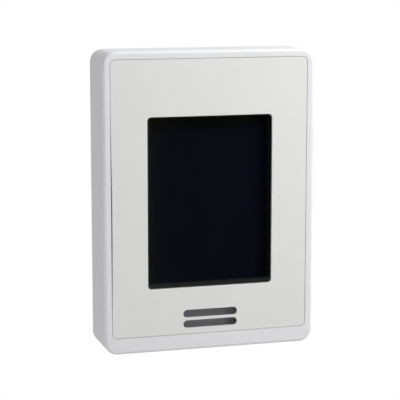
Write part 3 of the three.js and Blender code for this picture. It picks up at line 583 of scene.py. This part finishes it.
def housing():
    case, panel = Box("housing"), Box("fascia")
    front, rear = case.front, case.back
    ledge_front = front + FASCIA.thickness + GAP
    ledge_back = ledge_front + LEDGE.thickness

    def shell_ring(by, y):
        return ring_of((case.width - 2 * by, case.height - 2 * by, CASE.corner - by, 0, 0), y)

    def seat_ring(by, corner, y):
        return ring_of((panel.width + 2 * by, panel.height + 2 * by, corner, 0, panel.z), y)

    fillet, wall, rim, edge = CASE.fillet, CASE.wall, CASE.rear_edge, 0.08
    turn = rim * 0.3
    rings = [shell_ring(rim, rear), shell_ring(turn, rear - turn), shell_ring(0, rear - rim)]
    for t in quarter_turn(9):
        rings.append(shell_ring(fillet * (1 - math.cos(t)), front + fillet * (1 - math.sin(t))))
    seat_corner = FASCIA.corner + SEAM
    for t in quarter_turn(3):
        by = edge * (1 - math.sin(t))
        rings.append(seat_ring(SEAM + by, seat_corner + by, front + edge * (1 - math.cos(t))))
    rings += [
        seat_ring(SEAM, seat_corner, ledge_front),
        seat_ring(-LEDGE.support, LEDGE.corner, ledge_front),
        seat_ring(-LEDGE.support, LEDGE.corner, ledge_back),
        shell_ring(wall, ledge_back),
        shell_ring(wall, rear - rim),
        shell_ring(wall - rim, rear),
    ]
    inner_x, inner_z = case.width / 2 - wall, case.height / 2 - wall
    boss_back = Box("main_board").front - GAP
    parts, holes = [], []
    for side in (-1, 1):
        for z in BOSS.z:
            far = side * (inner_x + wall / 2)
            near = side * (BOSS.x - BOSS.radius)
            profile = [(0, ledge_back - LEDGE.thickness / 2), (0, boss_back - 0.2), (-0.2, boss_back)]
            size = (abs(far - near), 2 * BOSS.radius, BOSS.radius * 0.8)
            parts.append(stack(profile, *size, (far + near) / 2, z, 6))
            centre = (side * BOSS.x, z)
            holes.append(rod(BOSS.hole, boss_back - BOSS.depth, boss_back + PAST, centre, sides=24))
        x = side * CATCH.x
        half = CATCH.width / 2
        back = CATCH.front + CATCH.thickness
        top = inner_z + wall / 2
        parts.append(soft_block(x - half, x + half, CATCH.front, back, CATCH.z, top))
        # Thin ribs stiffen the long walls between the bosses.
        x0, x1 = sorted((side * (inner_x - SIDE_RIB.proud), side * (inner_x + wall / 2)))
        for z in SIDE_RIB.z:
            half = SIDE_RIB.half
            parts.append(block(x0, x1, ledge_back - 0.5, SIDE_RIB.back, z - half, z + half))
    half = LEDGE.notch / 2
    notch = block(-half, half, ledge_front - 0.15, ledge_back + PAST, LEDGE.notch_z, panel.z)
    bottom, hole = case.bottom, LOCK.hole
    profile = [(hole + 0.35, bottom - PAST), (hole + 0.35, bottom), (hole + 0.1, bottom + 0.1)]
    profile += [(hole, bottom + 0.35), (hole, bottom + wall + PAST)]
    lock_cut = lathe(profile, (0, LOCK.y), "Z")
    shape = cut(join(skin(rings, loop=True), *parts), notch, lock_cut, *holes)
    stand_in("housing", shape, "cover", "shell_white")


def moulded_ring(width, height, centre_z, offset, y):
    """The panel's outline as moulded, with points along its left side to bow it."""
    steps, along = FASCIA.corner_steps, FASCIA.side_steps
    corner = FASCIA.corner + offset
    points = outline(width + 2 * offset, height + 2 * offset, corner, 0, centre_z, steps)
    lower_left = 3 * (steps + 1)
    (x, z_top), (_, z_bottom) = points[lower_left - 1], points[lower_left]
    points[lower_left:lower_left] = [(x, z_top + (z_bottom - z_top) * i / along) for i in range(1, along)]
    ring = []
    for x, z in points:
        across, up = 2 * x / width, 2 * (z - centre_z) / height
        bow = max(0.0, math.cos(math.pi / 2 * min(1.0, abs(z - BOW.z) / BOW.reach))) ** 1.5
        if across > 0:
            x += across * SNUG.right
        else:
            x += across * (SNUG.left - BOW.depth * bow)
        z += up * (SNUG.top if up > 0 else SNUG.bottom)
        ring.append((x, y, z))
    return ring


def fascia():
    box = Box("fascia")
    front, back = box.front, box.front + FASCIA.thickness
    profile = soft(front, back, FASCIA.edge, 4)
    panel = skin([moulded_ring(*box.size, box.z, offset, y) for offset, y in profile])
    # A rib round the window holds the display.
    foot, top, bevel = back - 0.5, back + RIB.depth, 0.2
    outer = (RIB.width, RIB.height, RIB.wall)
    inner = (RIB.width - 2 * RIB.wall, RIB.height - 2 * RIB.wall, RIB.wall / 2)
    outer_top = (outer[0] - 2 * bevel, outer[1] - 2 * bevel, outer[2] - bevel)
    inner_top = (inner[0] + 2 * bevel, inner[1] + 2 * bevel, inner[2] + bevel)
    rings = ((outer, foot), (outer, top - bevel), (outer_top, top))
    rings += ((inner_top, top), (inner, top - bevel), (inner, foot))
    rib = skin([ring_of(rect, y, 5) for rect, y in rings], loop=True)
    profile = flare(front, back + PAST, WINDOW.edge)
    window = stack(profile, WINDOW.width, WINDOW.height, WINDOW.corner, steps=10)
    profile = flare(front, back + PAST, VENT.edge)
    size = (VENT.width, VENT.height, VENT.height / 2)
    slots = [stack(profile, *size, 0, z, 10) for z in VENT.z]
    x0, x1, _, _, z0, z1 = Box("sensor_baffle").sides
    pocket = block(x0 - GAP, x1 + GAP, front + VENT.lip, back + PAST, z0 - GAP, z1 + GAP)
    # The flat cables leave through the rib's lower side.
    ways = []
    z0, z1 = -RIB.height / 2 - PAST, -WINDOW.height / 2 - PAST
    for tail in (Box("touch_flex"), Box("lcd_flex")):
        ways.append(block(tail.left - 1, tail.right + 1, back + GAP / 2, top + PAST, z0, z1))
    shape = cut(join(panel, rib), window, *slots, pocket, *ways)
    stand_in("fascia", shape, "cover", "fascia_grey")


def sheet_of(node, slot, corner, edge, edge_steps=3, steps=8):
    """A flat piece of the display, with rounded edges."""
    box = Box(node)
    shape = stack(soft(box.front, box.back, edge, edge_steps), *box.size, corner, steps=steps)
    stand_in(node, shape, "cover", slot)


def display():
    sheet_of("display_lens", "cover_glass", LENS.corner, LENS.edge, 4, 10)
    sheet_of("touch_sensor", "touch_film", LENS.corner, 0.08)
    carried("display_gasket", "cover", "foam_black", 0.12, 3)
    carried("lcd_tray", "cover", "pressed_steel", 0.12, name="Display_tray")
    # Two panes with a groove where they are glued.
    box = Box("lcd_cell")
    front, back = box.front, box.back
    middle, chamfer, groove = (front + back) / 2, 0.05, 0.04
    panes = [(-chamfer, front), (0, front + chamfer), (0, middle - groove), (-3 * groove, middle)]
    panes += [(0, middle + groove), (0, back - chamfer), (-chamfer, back)]
    stand_in("lcd_cell", stack(panes, *box.size, 0.4), "cover", "display_glass", "Display_cell")
    sheet_of("backlight", "diffuser_white", 0.6, 0.15)


def baffle():
    box = Box("sensor_baffle")
    front, back, bottom, top = box.sides[2:]
    wall = BAFFLE.wall
    floor_y = back - BAFFLE.floor
    profile = [(0.2, front - PAST), (0.2, front), (0, front + 0.2), (0, floor_y - 0.3), (-0.3, floor_y)]
    hollow = stack(profile, box.width - 2 * wall, box.height - wall, 0.6, *box.middle, 5)
    # The floor falls away towards the port that lets the air through to the sensor.
    right = box.right - wall
    port_left = right - BAFFLE.port
    foot, head = bottom + wall / 2 + 0.3, top - wall / 2 - 0.3
    port = block(port_left, right - 0.3, floor_y - PAST, back + PAST, foot, head)
    start, end, deepest = port_left - BAFFLE.ramp, port_left + 0.2, BAFFLE.ramp_depth
    slope = [(start, floor_y - 0.01), (port_left - BAFFLE.ramp / 2, floor_y + deepest * 0.35)]
    slope += [(end, floor_y + deepest), (end, floor_y - 0.5), (start, floor_y - 0.5)]
    ramp = skin([[(x, y, z) for x, y in slope] for z in (foot, head)])
    # Bars across the port, each thinner and deeper than the one before.
    bars = []
    for along, width, drop in PORT_BARS:
        x0, x1 = port_left + along - width / 2, port_left + along + width / 2
        bars.append(block(x0, x1, floor_y + drop, back - 0.05, bottom + 0.5, top - 0.5))
    shape = join(cut(soft_block(*box.sides, 0.3, 3), hollow, ramp, port), *bars)
    stand_in("sensor_baffle", shape, "cover", "baffle_grey")


def flat_tail(node, name):
    make(name, from_cad(node), "cover", "flex_amber", stands_for=node, angle=50)


def flex_socket(node, name):
    box = Box(node)
    left, right, front, back, bottom, top = box.sides
    carried(node, "cover", "nylon_natural", 0.1, name=name)
    latch = soft_block(left + 0.4, right - 0.4, front - 0.28, front + 0.05, top - 1.3, top - 0.2, 0.1)
    make(name + "_latch", latch, "cover", "baffle_grey", dark_latch)
    feet = []
    count = max(6, round(box.width))
    for i in range(count):
        x = left + 0.9 + (box.width - 1.8) * i / (count - 1)
        sides = (x - 0.14, x + 0.14, back - 0.12, back + 0.12, bottom - 0.6, bottom + 0.3)
        feet.append(soft_block(*sides, 0.04, 1))
    make(name + "_contacts", merge(*feet), "cover", "screw_steel", tin)


def gull_wing(x, z, way, y_top, y_foot, width=0.22):
    """One bent lead; way is the unit vector that it points along, in x and z."""
    side = (-way[1], way[0])
    path = [(0.0, y_top), (0.35, y_top), (0.6, y_foot), (1.1, y_foot)]
    rings = []
    for out, y in path:
        ring = []
        for s, t in ((-1, 0.0), (1, 0.0), (1, 0.12), (-1, 0.12)):
            px = x + way[0] * out + side[0] * s * width / 2
            pz = z + way[1] * out + side[1] * s * width / 2
            ring.append((px, y + t, pz))
        rings.append(ring)
    return skin(rings)


def leads(name, box, ways, count, pitch, width=0.22):
    """A row of bent leads on each side of a chip that ways names."""
    forms = []
    for way in ways:
        out = (box.width if way[0] else box.height) / 2 - 0.3
        for i in range(count):
            along = (i - (count - 1) / 2) * pitch
            x = box.x + way[0] * out - way[1] * along
            z = box.z + way[1] * out + way[0] * along
            forms.append(gull_wing(x, z, way, box.front + 0.5, box.front - 0.14, width))
    make(name, merge(*forms), "cover", "screw_steel", tin)


def processor():
    box = Box("main_processor")
    front, back = box.front, box.back
    profile = [(-0.35, front), (-0.05, front + 0.45), (-0.05, front + 0.75)]
    profile += [(-0.35, back - 0.02), (-0.4, back)]
    body = stack(profile, *box.size, 0.5, *box.middle, 4)
    # A shallow round mark beside the first lead.
    spot = (box.x - box.width / 2 + 1.6, box.z + box.height / 2 - 1.6)
    profile = [(0, back - 0.12), (0.5, back - 0.12), (0.55, back + PAST), (0, back + PAST)]
    shape = cut(body, lathe(profile, spot, sides=20))
    stand_in("main_processor", shape, "cover", "chip_black")
    leads("Processor_leads", box, ((1, 0), (-1, 0), (0, 1), (0, -1)), *PROCESSOR_LEADS)


def memory():
    box = Box("memory_chip")
    front = box.front
    profile = [(-0.3, front), (-0.05, front + 0.4), (-0.05, front + 0.65), (-0.3, box.back)]
    body = stack(profile, *box.size, 0.4, *box.middle, 4)
    stand_in("memory_chip", body, "cover", "chip_black")
    leads("Memory_leads", box, ((0, 1), (0, -1)), *MEMORY_LEADS)


def radio():
    box = Box("radio_can")
    front, back = box.front, box.back
    edge, wall, pitch = 0.25, 0.3, 3
    outer = [(0, front)] + soft(front - edge, back, edge, 3)[4:]
    can = stack(outer, *box.size, 1.0, *box.middle, 6)
    hollow = stack([(-wall, front - PAST), (-wall, back - wall)], *box.size, 1.0, *box.middle, 6)
    vents = []
    for column in (-2, -1, 0, 1, 2):
        for row in (-1, 0, 1):
            spot = (box.x + column * pitch, box.z + row * pitch)
            vents.append(rod(0.45, back - PAST, back + PAST, spot, sides=20))
    stand_in("radio_can", cut(can, hollow, *vents), "cover", "pressed_steel")


def beeper():
    box = Box("beeper")
    radius, front, back = box.width / 2, box.front, box.back
    profile = [(0, front), (radius - 0.2, front), (radius, front + 0.2), (radius, back - 0.5)]
    profile += [(radius - 0.15, back - 0.15), (radius - 0.5, back), (1.5, back), (1.3, back - 0.25)]
    profile += [(0.9, back - 0.25), (0.85, back - 2), (0, back - 2)]
    stand_in("beeper", lathe(profile, box.middle, sides=48), "cover", "chip_black")


def coin():
    carried("cell_holder", "cover", "nylon_natural", 0.15, 2, 40)
    box = Box("coin_cell")
    radius, front, back = box.width / 2, box.front, box.back
    profile = [(0, front), (radius - 1.1, front), (radius - 0.9, front + 0.2), (radius - 0.45, front + 0.3)]
    profile += [(radius - 0.12, front + 0.42), (radius, front + 0.6), (radius, back - 0.25)]
    profile += [(radius - 0.08, back - 0.08), (radius - 0.25, back), (radius - 1.2, back)]
    profile += [(radius - 1.3, back - 0.05), (0, back - 0.05)]
    shape = lathe(profile, box.middle, sides=64)
    stand_in("coin_cell", shape, "cover", "pressed_steel")
    # A spring arm across the cell holds it and takes its current.
    top = Box("cell_holder").back - 0.15
    path = [(-8.0, top - 0.9), (-6.6, top - 0.25), (-3.6, top - 0.45)]
    path += [(-1.4, back + 0.06), (-0.2, back + 0.25)]
    section = ((-1.3, 0), (1.3, 0), (1.3, 0.2), (-1.3, 0.2))
    arm = [[(box.x + across, y + thick, box.z + along) for across, thick in section] for along, y in path]
    make("Cell_contact", skin(arm), "cover", "pressed_steel")


def climate_sensor():
    box = Box("climate_sensor")
    front = box.front
    profile = [(0, front + 0.5), (0.45, front + 0.5), (0.55, front)]
    profile += [(0.55, front - PAST), (0, front - PAST)]
    shape = cut(soft_block(*box.sides, 0.15), lathe(profile, box.middle, sides=24))
    stand_in("climate_sensor", shape, "cover", "pressed_steel")


def board(node, body, holes):
    """A circuit board, with tinned pads on both faces round its screw holes."""
    carried(node, body, "circuit_green", 0)
    box, inner, outer = Box(node), PAD.inner, PAD.outer
    pads = []
    for hole in holes:
        for y, out in ((box.front, -1), (box.back, 1)):
            a, b = sorted((y, y + out * PAD.raised))
            section = ((inner, a), (outer, a), (outer, b), (inner, b))
            rings = [circle(radius, along, hole, sides=PAD.sides) for radius, along in section]
            pads.append(skin(rings, loop=True))
    make(node.capitalize() + "_pads", merge(*pads), body, "screw_steel", tin)


def passives(name, body, surface, way, spots):
    """Chip resistors and capacitors on a board's surface; way is -1 where they stand towards the front."""
    forms, ends = {"c": [], "r": []}, []
    solder, cap = 0.05, 0.38
    for x, z, turn, kind in spots:
        length, width, tall = (2.0, 1.25, 0.9) if kind == "c" else (1.6, 0.8, 0.45)
        dx, dz = (width / 2, length / 2) if turn else (length / 2, width / 2)
        y0, y1 = sorted((surface + way * solder, surface + way * (solder + tall)))
        in_x, in_z = (dx, dz - cap) if turn else (dx - cap, dz)
        sides = (x - in_x, x + in_x, y0 + 0.02, y1 - 0.02, z - in_z, z + in_z)
        forms[kind].append(soft_block(*sides, 0.04, 1))
        for s in (-1, 1):
            x0, x1, z0, z1 = x - dx, x + dx, z - dz, z + dz
            if turn:
                z0, z1 = sorted((z + s * dz, z + s * (dz - cap)))
            else:
                x0, x1 = sorted((x + s * dx, x + s * (dx - cap)))
            ends.append(soft_block(x0, x1, y0, y1, z0, z1, 0.06, 1))
    make(name + "_capacitors", merge(*forms["c"]), body, "chip_black", ceramic)
    make(name + "_resistors", merge(*forms["r"]), body, "chip_black", resistor)
    make(name + "_ends", merge(*ends), body, "screw_steel", tin)


def grid_spots(rows, seed):
    """Places in rows of (first x, last x, z, pitch, turned), each with a capacitor or a resistor."""
    random.seed(seed)
    spots = []
    for x0, x1, z, pitch, turn in rows:
        x = x0
        while x <= x1:
            spots.append((x, z, turn, random.choice("cr")))
            x += pitch
    return spots


def cross_cutter(x, z, y, way, size=2.6, width=0.55, depth=0.7):
    """Two tapered blades that cut a cross recess down from y; way is 1 towards +Y."""
    tools = []
    corners = ((-1, -1), (1, -1), (1, 1), (-1, 1))
    for wide, tall in ((size, width), (width, size)):
        top = [(x + sx * wide / 2, z + sz * tall / 2) for sx, sz in corners]
        foot = [(x + sx * wide / 4, z + sz * tall / 3) for sx, sz in corners]
        levels = ((y - way * 0.5, top), (y, top), (y + way * depth, foot))
        tools.append(skin([[(px, level, pz) for px, pz in ring] for level, ring in levels]))
    return tools


def pan_screw(node, body, way):
    """A pan-head screw along y; way is the direction from its head to its tip."""
    box = Box(node)
    head, tip = (box.back, box.front) if way < 0 else (box.front, box.back)
    radius, shank, tall = SCREW.head, SCREW.shank, SCREW.tall
    core = shank - SCREW.thread

    def at(depth):
        return head + way * depth

    profile = [(0, at(0)), (radius * 0.55, at(0.02)), (radius * 0.8, at(0.18)), (radius * 0.95, at(0.5))]
    profile += [(radius, at(0.9)), (radius, at(tall - 0.1)), (radius - 0.1, at(tall)), (shank, at(tall))]
    total = abs(tip - head)
    depth = tall + 0.3
    while depth < total - 1.0:
        profile += [(shank, at(depth)), (shank, at(depth + 0.12))]
        profile += [(core, at(depth + 0.3)), (core, at(depth + 0.42))]
        depth += SCREW.pitch
    profile += [(shank, at(total - 0.9)), (0.35, at(total - 0.05)), (0, at(total))]
    shape = cut(lathe(profile, box.middle, sides=36), *cross_cutter(*box.middle, head, way))
    stand_in(node, shape, body, "screw_steel")


def link_places():
    """The x and z of each contact between the cover and the base."""
    places = []
    for i in range(LINK.ways):
        x = LINK.x + (i - LINK.ways // 2) * LINK.pitch
        places += [(x, LINK.z - LINK.pitch / 2), (x, LINK.z + LINK.pitch / 2)]
    return places


def link_pins():
    box = Box("link_pins")
    front, back = box.front, box.back
    strip_back = Box("main_board").back + GAP + LINK.strip
    profile = soft(front, strip_back, 0.12, 1)
    cells = [stack(profile, LINK.pitch, box.height, 0.45, x, box.z, 2) for x, _ in link_places()[::2]]
    edge, ends = 0.3, (front, strip_back - 0.1)
    bar = block(box.left + edge, box.right - edge, *ends, box.bottom + edge, box.top - edge)
    stand_in("link_pins", join(bar, *cells), "cover", "chip_black", "Link_strip")
    profile = [(0, strip_back - 0.3), (0, back - 0.6), (-0.2, back)]
    pins = [stack(profile, LINK.pin, LINK.pin, 0.06, x, z, 1) for x, z in link_places()]
    make("Link_pins", merge(*pins), "cover", "screw_steel", gold)


# ---- the base ----


def base_plate():
    """The plate's CAD shape, with what moulding leaves in the face that lies against the wall."""
    wall = Box("base_plate").back
    past = wall + PAST
    tools = [rod(PLATE.dimple, wall - PLATE.dimple_depth, past, spot, sides=32) for spot in DIMPLES]
    radius, bottom, flare_out = PLATE.core, wall - PLATE.core_depth, 0.2
    core = [(0, bottom), (radius - flare_out, bottom), (radius, wall - flare_out)]
    core += [(radius + flare_out, wall), (radius + flare_out, past), (0, past)]
    pocket = [(-0.5, wall - PLATE.pocket), (0, wall - 0.15), (0.15, wall), (0.15, past)]
    size = (POCKET.width, POCKET.height, POCKET.corner)
    for side in (-1, 1):
        for z in POST_Z:
            tools.append(lathe(core, (side * POST_X, z), sides=32))
        tools.append(stack(pocket, *size, side * POCKET.x, POCKET.z, 6))
    # A groove round the cable hole.
    hole, corner, middle_z = CABLE_HOLE.size, CABLE_HOLE.corner, CABLE_HOLE.z
    section = ((2.2, past), (2.2, wall), (2.5, wall - PLATE.groove), (2.8, wall), (2.8, past))
    rings = []
    for out, y in section:
        rings.append(ring_of((hole + 2 * out, hole + 2 * out, corner + out, 0, middle_z), y, 8))
    tools.append(skin(rings, loop=True))
    # An arrow that points up when the plate is the right way round.
    tools.append(skin([[(x, y, z) for x, z in UP_ARROW] for y in (wall - 0.3, past)]))
    shape = cut(from_cad("base_plate", 0.22, 3, 50), *tools)
    stand_in("base_plate", shape, "base", "base_plastic")


def terminal_block():
    carried("terminal_header", "base", "terminal_green", 0.12)
    carried("terminal_plug", "plug", "terminal_green", 0.14, 2, 40)
    plug = Box("terminal_plug")
    y, top = (plug.front + plug.back) / 2, plug.top
    clamps = []
    for i in range(1, 5):
        node = f"terminal_screw_{i}"
        box = Box(node)
        x, z, front, back, radius = *box.middle, box.front, box.back, box.width / 2
        profile = [(0, front), (radius - 0.3, front), (radius - 0.06, front + 0.12), (radius, front + 0.35)]
        profile += [(radius, back - 0.1), (radius - 0.1, back), (0, back)]
        slot = block(box.left - PAST, box.right + PAST, front - PAST, front + 0.65, z - 0.24, z + 0.24)
        shape = cut(lathe(profile, (x, z), sides=32), slot)
        stand_in(node, shape, f"clamp_{i}", "screw_steel")
        clamps.append(block(x - 1.05, x + 1.05, y - 0.9, y + 0.9, top - 2.6, top - 2.2))
    make("Plug_clamps", merge(*clamps), "plug", "screw_steel", brass)


def outputs():
    carried("output_terminal", "base", "terminal_green", 0.14)
    box = Box("output_terminal")
    sides = (box.front - 0.55, box.front + 0.02, box.bottom + 0.9, box.z - 1.7)
    half = OUTPUT.half_lever
    levers = []
    for i in range(OUTPUT.ways):
        x = box.x + (i - OUTPUT.ways // 2) * OUTPUT.pitch
        levers.append(soft_block(x - half, x + half, *sides, 0.25, 2))
    make("Output_levers", merge(*levers), "base", "nylon_natural", lever)


def link_socket():
    carried("link_socket", "base", "chip_black", 0.15)
    back = Box("link_socket").back
    contacts = []
    for x, row in link_places():
        for z in (row - 0.55, row + 0.55):
            contacts.append(block(x - 0.4, x + 0.4, back - 2.2, back - 1.05, z - 0.1, z + 0.1))
    make("Socket_contacts", merge(*contacts), "base", "screw_steel", gold)


def relays():
    for i in (1, 2):
        box = Box(f"relay_{i}")
        front, back = box.front, box.back
        # A groove runs round the case where its cap meets its base.
        profile = soft(front, back - 1.2, 0.35, 3)[:4] + [(0, back - 1.0), (-0.15, back - 0.95)]
        profile += [(-0.15, back - 0.75), (0, back - 0.7), (0, back)]
        body = stack(profile, *box.size, 0.7, *box.middle, 5)
        spot = (box.x - box.width / 2 + 1.6, box.z + box.height / 2 - 1.6)
        vent = rod(0.45, front - PAST, front + 0.4, spot, sides=20)
        stand_in(f"relay_{i}", cut(body, vent), "base", "relay_cream")


def capacitor():
    box = Box("capacitor")
    x, z, front, back = *box.middle, box.front, box.back
    radius, half, foot = CAPACITOR.radius, CAPACITOR.vent, CAPACITOR.foot
    profile = [(0, front + 0.12), (radius - 0.9, front + 0.12), (radius - 0.7, front + 0.02)]
    profile += [(radius - 0.3, front)]
    profile += [(radius - 0.05, front + 0.15), (radius, front + 0.4), (radius, back - 1.9)]
    profile += [(radius - 0.28, back - 1.65), (radius - 0.28, back - 1.45), (radius, back - 1.2)]
    profile += [(radius, back - foot), (0, back - foot)]
    # A cross is scored in the end of the can.
    vents = []
    for dx, dz in ((half, 0.1), (0.1, half)):
        vents.append(block(x - dx, x + dx, front - PAST, front + 0.22, z - dz, z + dz))
    can = cut(lathe(profile, box.middle, sides=48), *vents)
    stand_in("capacitor", can, "base", "can_aluminium")
    shape = stack(soft(back - foot, back, 0.12, 2), box.width, box.width, 0.9, *box.middle, 4)
    make("Capacitor_foot", shape, "base", "chip_black")


def winding(x, y, z, radius):
    """One closed turn of round wire about the y axis."""
    wire, sides = WINDING.radius, WINDING.sides
    section = [(wire * math.cos(b * math.pi / 3), wire * math.sin(b * math.pi / 3)) for b in range(6)]
    rings = []
    for a in range(sides):
        t = 2 * math.pi * a / sides
        across, up = math.cos(t), math.sin(t)
        rings.append([(x + across * (radius + u), y + v, z + up * (radius + u)) for u, v in section])
    return skin(rings, loop=True)


def inductor():
    box = Box("inductor")
    x, z, front, back, size = *box.middle, box.front, box.back, box.width
    drum = [(-0.5, front), (-0.2, front + 0.12), (-0.2, front + 0.8), (-1.1, front + 0.95)]
    drum += [(-1.1, back - 1.1), (-0.05, back - 0.95), (0, back - 0.8), (0, back)]
    stand_in("inductor", stack(drum, size, size, 2.2, x, z, 6), "base", "chip_black")
    first, radius = front + 1.15, size / 2 - 1.05
    turns = [winding(x, first + i * WINDING.pitch, z, radius) for i in range(WINDING.turns)]
    make("Inductor_winding", merge(*turns), "base", "screw_steel", brass)


def end_switch():
    carried("bus_end_switch", "base", "chip_black", 0.1)
    carried("bus_end_slider", "bus_end", "nylon_natural", 0.12)
    box = Box("bus_end_switch")
    feet = []
    for z in (box.bottom + 1.4, box.z, box.top - 1.4):
        for x, s in ((box.left, -1), (box.right, 1)):
            x0, x1 = sorted((x + s * 0.9, x - s * 0.1))
            feet.append(soft_block(x0, x1, box.back - 0.05, box.back + 0.16, z - 0.3, z + 0.3, 0.05, 1))
    make("Switch_feet", merge(*feet), "base", "screw_steel", tin)


def lock_screw():
    box = Box("lock_screw")
    radius, bottom, top = box.width / 2, box.bottom, box.top
    core, pitch = radius - 0.22, 0.5
    profile = [(0, bottom), (radius - 0.25, bottom), (radius, bottom + 0.25), (radius, bottom + 0.6)]
    z = bottom + 0.8
    while z < top - 1.0:
        profile += [(radius, z), (radius, z + 0.08), (core, z + 0.25), (core, z + 0.32)]
        z += pitch
    profile += [(radius, top - 0.6), (radius - 0.5, top), (0, top)]
    hexagon = rod(LOCK.hex, bottom - PAST, bottom + LOCK.hex_depth, (0, LOCK.y), "Z", 6)
    shape = cut(lathe(profile, (0, LOCK.y), "Z", 36), hexagon)
    stand_in("lock_screw", shape, "lock", "screw_steel")


# ---- the assembly ----

housing()
fascia()
display()
baffle()
flat_tail("lcd_flex", "Display_tail")
flat_tail("touch_flex", "Touch_tail")
flex_socket("lcd_connector", "Display_socket")
flex_socket("touch_connector", "Touch_socket")
board("main_board", "cover", [(s * BOSS.x, z) for s in (-1, 1) for z in BOSS.z])
processor()
memory()
radio()
beeper()
coin()
climate_sensor()
link_pins()
for number in range(1, 5):
    pan_screw(f"board_screw_{number}", "cover", -1)

# Rows of small parts: first x, last x, z, pitch, and whether they are turned upright.
MAIN_ROWS = [
    (-14, 2, 33, 2.6, 1),
    (-14, 2, 11, 2.6, 1),
    (5, 14, 17, 2.4, 0),
    (-30, -20, 26, 2.6, 1),
    (-30, -18, 18, 3.0, 0),
    (-32, -20, 5, 2.6, 1),
    (8, 32, 8, 3.2, 0),
    (8, 32, 2, 3.2, 0),
    (-30, 30, -10, 3.4, 0),
    (16, 32, -26, 2.8, 1),
    (-4, 0, 45, 2.6, 1),
    (26, 34, 44, 2.8, 0),
]
passives("Main", "cover", Box("main_board").back, 1, grid_spots(MAIN_ROWS, 4))

base_plate()
board("terminal_board", "base", [(-POST_X, POST_Z[1]), (POST_X, POST_Z[0])])
terminal_block()
outputs()
link_socket()
relays()
capacitor()
inductor()
end_switch()
lock_screw()
pan_screw("terminal_board_screw_1", "base", 1)
pan_screw("terminal_board_screw_2", "base", 1)
BASE_ROWS = [(-12, 10, -21.5, 2.8, 0), (17, 33, -33.2, 2.8, 0), (-12, 9, -33.6, 3.0, 0)]
passives("Base", "base", Box("terminal_board").front, -1, grid_spots(BASE_ROWS, 9))

# ---- the studio ----

WHITE = (1, 1, 1)
FLOOR = Sizes(half=1.2, below=0.3, tone=0.75)  # metres, and a share of white
AMBIENT = 0.4
COOL = (0.985, 0.985, 1.0)
# A dark card in front keeps the display black; it is this way, and this wide as cosines from there.
DARK_SIDE, DARK_EDGE, DARK_HEART, DARK_SHARE = (0.28, -0.947, -0.158), 0.72, 0.93, 0.02


def show(tree, output, seen, felt):
    """One shader for the camera, and another for everything else."""
    path = tree.node("LightPath").outputs["Is Camera Ray"]
    chosen = tree.node("MixShader", enumerate((path, felt, seen)))
    tree.node(output, [("Surface", chosen.outputs[0])])


def floor():
    mesh = bpy.data.meshes.new("Floor")
    half = FLOOR.half
    z = cad_bounds[0][2] - FLOOR.below
    corners = [(-half, -half, z), (half, -half, z), (half, half, z), (-half, half, z)]
    mesh.from_pydata(corners, [], [(0, 1, 2, 3)])
    plain = bpy.data.materials.new("Studio floor")
    tree = Tree(plain)
    tree.nodes.clear()
    lit = tree.node("BsdfDiffuse", [("Color", (FLOOR.tone,) * 3)]).outputs[0]
    shown = tree.node("Emission", [("Color", WHITE)]).outputs[0]
    # Its underside is clear, so that it doesn't hide the object from below.
    side = tree.node("NewGeometry").outputs["Backfacing"]
    clear = tree.node("BsdfTransparent").outputs[0]
    seen = tree.node("MixShader", enumerate((side, shown, clear))).outputs[0]
    show(tree, "OutputMaterial", seen, lit)
    mesh.materials.append(plain)
    placed("Floor", mesh)


def world():
    """White to the camera, and a soft cool light with a dark card to everything else."""
    sky = bpy.data.worlds.new("Studio")
    bpy.context.scene.world = sky
    tree = Tree(sky)
    tree.nodes.clear()
    direction = tree.node("TexCoord").outputs["Generated"]
    towards = tree.node("VectorMath", enumerate((direction, DARK_SIDE)), operation="DOT_PRODUCT")
    dimming = [("Value", towards.outputs["Value"]), ("From Min", DARK_EDGE), ("From Max", DARK_HEART)]
    dimming += [("To Min", AMBIENT), ("To Max", AMBIENT * DARK_SHARE)]
    dimmed = tree.node("MapRange", dimming, interpolation_type="SMOOTHSTEP").outputs["Result"]
    felt = tree.node("Background", [("Color", COOL), ("Strength", dimmed)]).outputs[0]
    seen = tree.node("Background", [("Color", WHITE)]).outputs[0]
    show(tree, "OutputWorld", seen, felt)


def aimed(thing, location, direction):
    thing.location = location
    thing.rotation_euler = direction.to_track_quat("-Z", "Y").to_euler()


def lamp(name, location, size, power, colour=(1, 1, 1)):
    """A soft round lamp aimed at the middle of the object, in metres and watts."""
    light = bpy.data.lights.new(name, "AREA")
    light.shape = "DISK"
    light.size = size
    light.energy = power
    light.color = colour
    aimed(placed(name, light), location, -Vector(location))


floor()
world()
lamp("Near right", (0.3, -0.25, 0.25), 0.25, 1.55)
lamp("Top right", (0.35, 0.2, 0.6), 0.5, 1.71)
lamp("Top rear", (0.0, 0.35, 0.5), 0.5, 0.5)
lamp("Front", (-0.25, -1.2, 0.1), 0.8, 2.78)
lamp("Left rear", (-0.8, 0.1, -0.2), 0.5, 1.02, (0.95, 0.95, 1.0))

LENS_MM, SENSOR_MM, NEAREST = 134.3, 36, 0.01
CAMERA_AT = Vector((-0.1702, -0.5836, 0.0946))
CAMERA_LOOKS = Vector((0.2801, 0.9468, -0.1583))
camera_data = bpy.data.cameras.new("Camera")
camera_data.lens = LENS_MM
camera_data.sensor_width = SENSOR_MM
camera_data.clip_start = NEAREST
camera = placed("Camera", camera_data)
aimed(camera, CAMERA_AT, CAMERA_LOOKS)
bpy.context.scene.camera = camera
bpy.context.scene.view_settings.view_transform = "Standard"
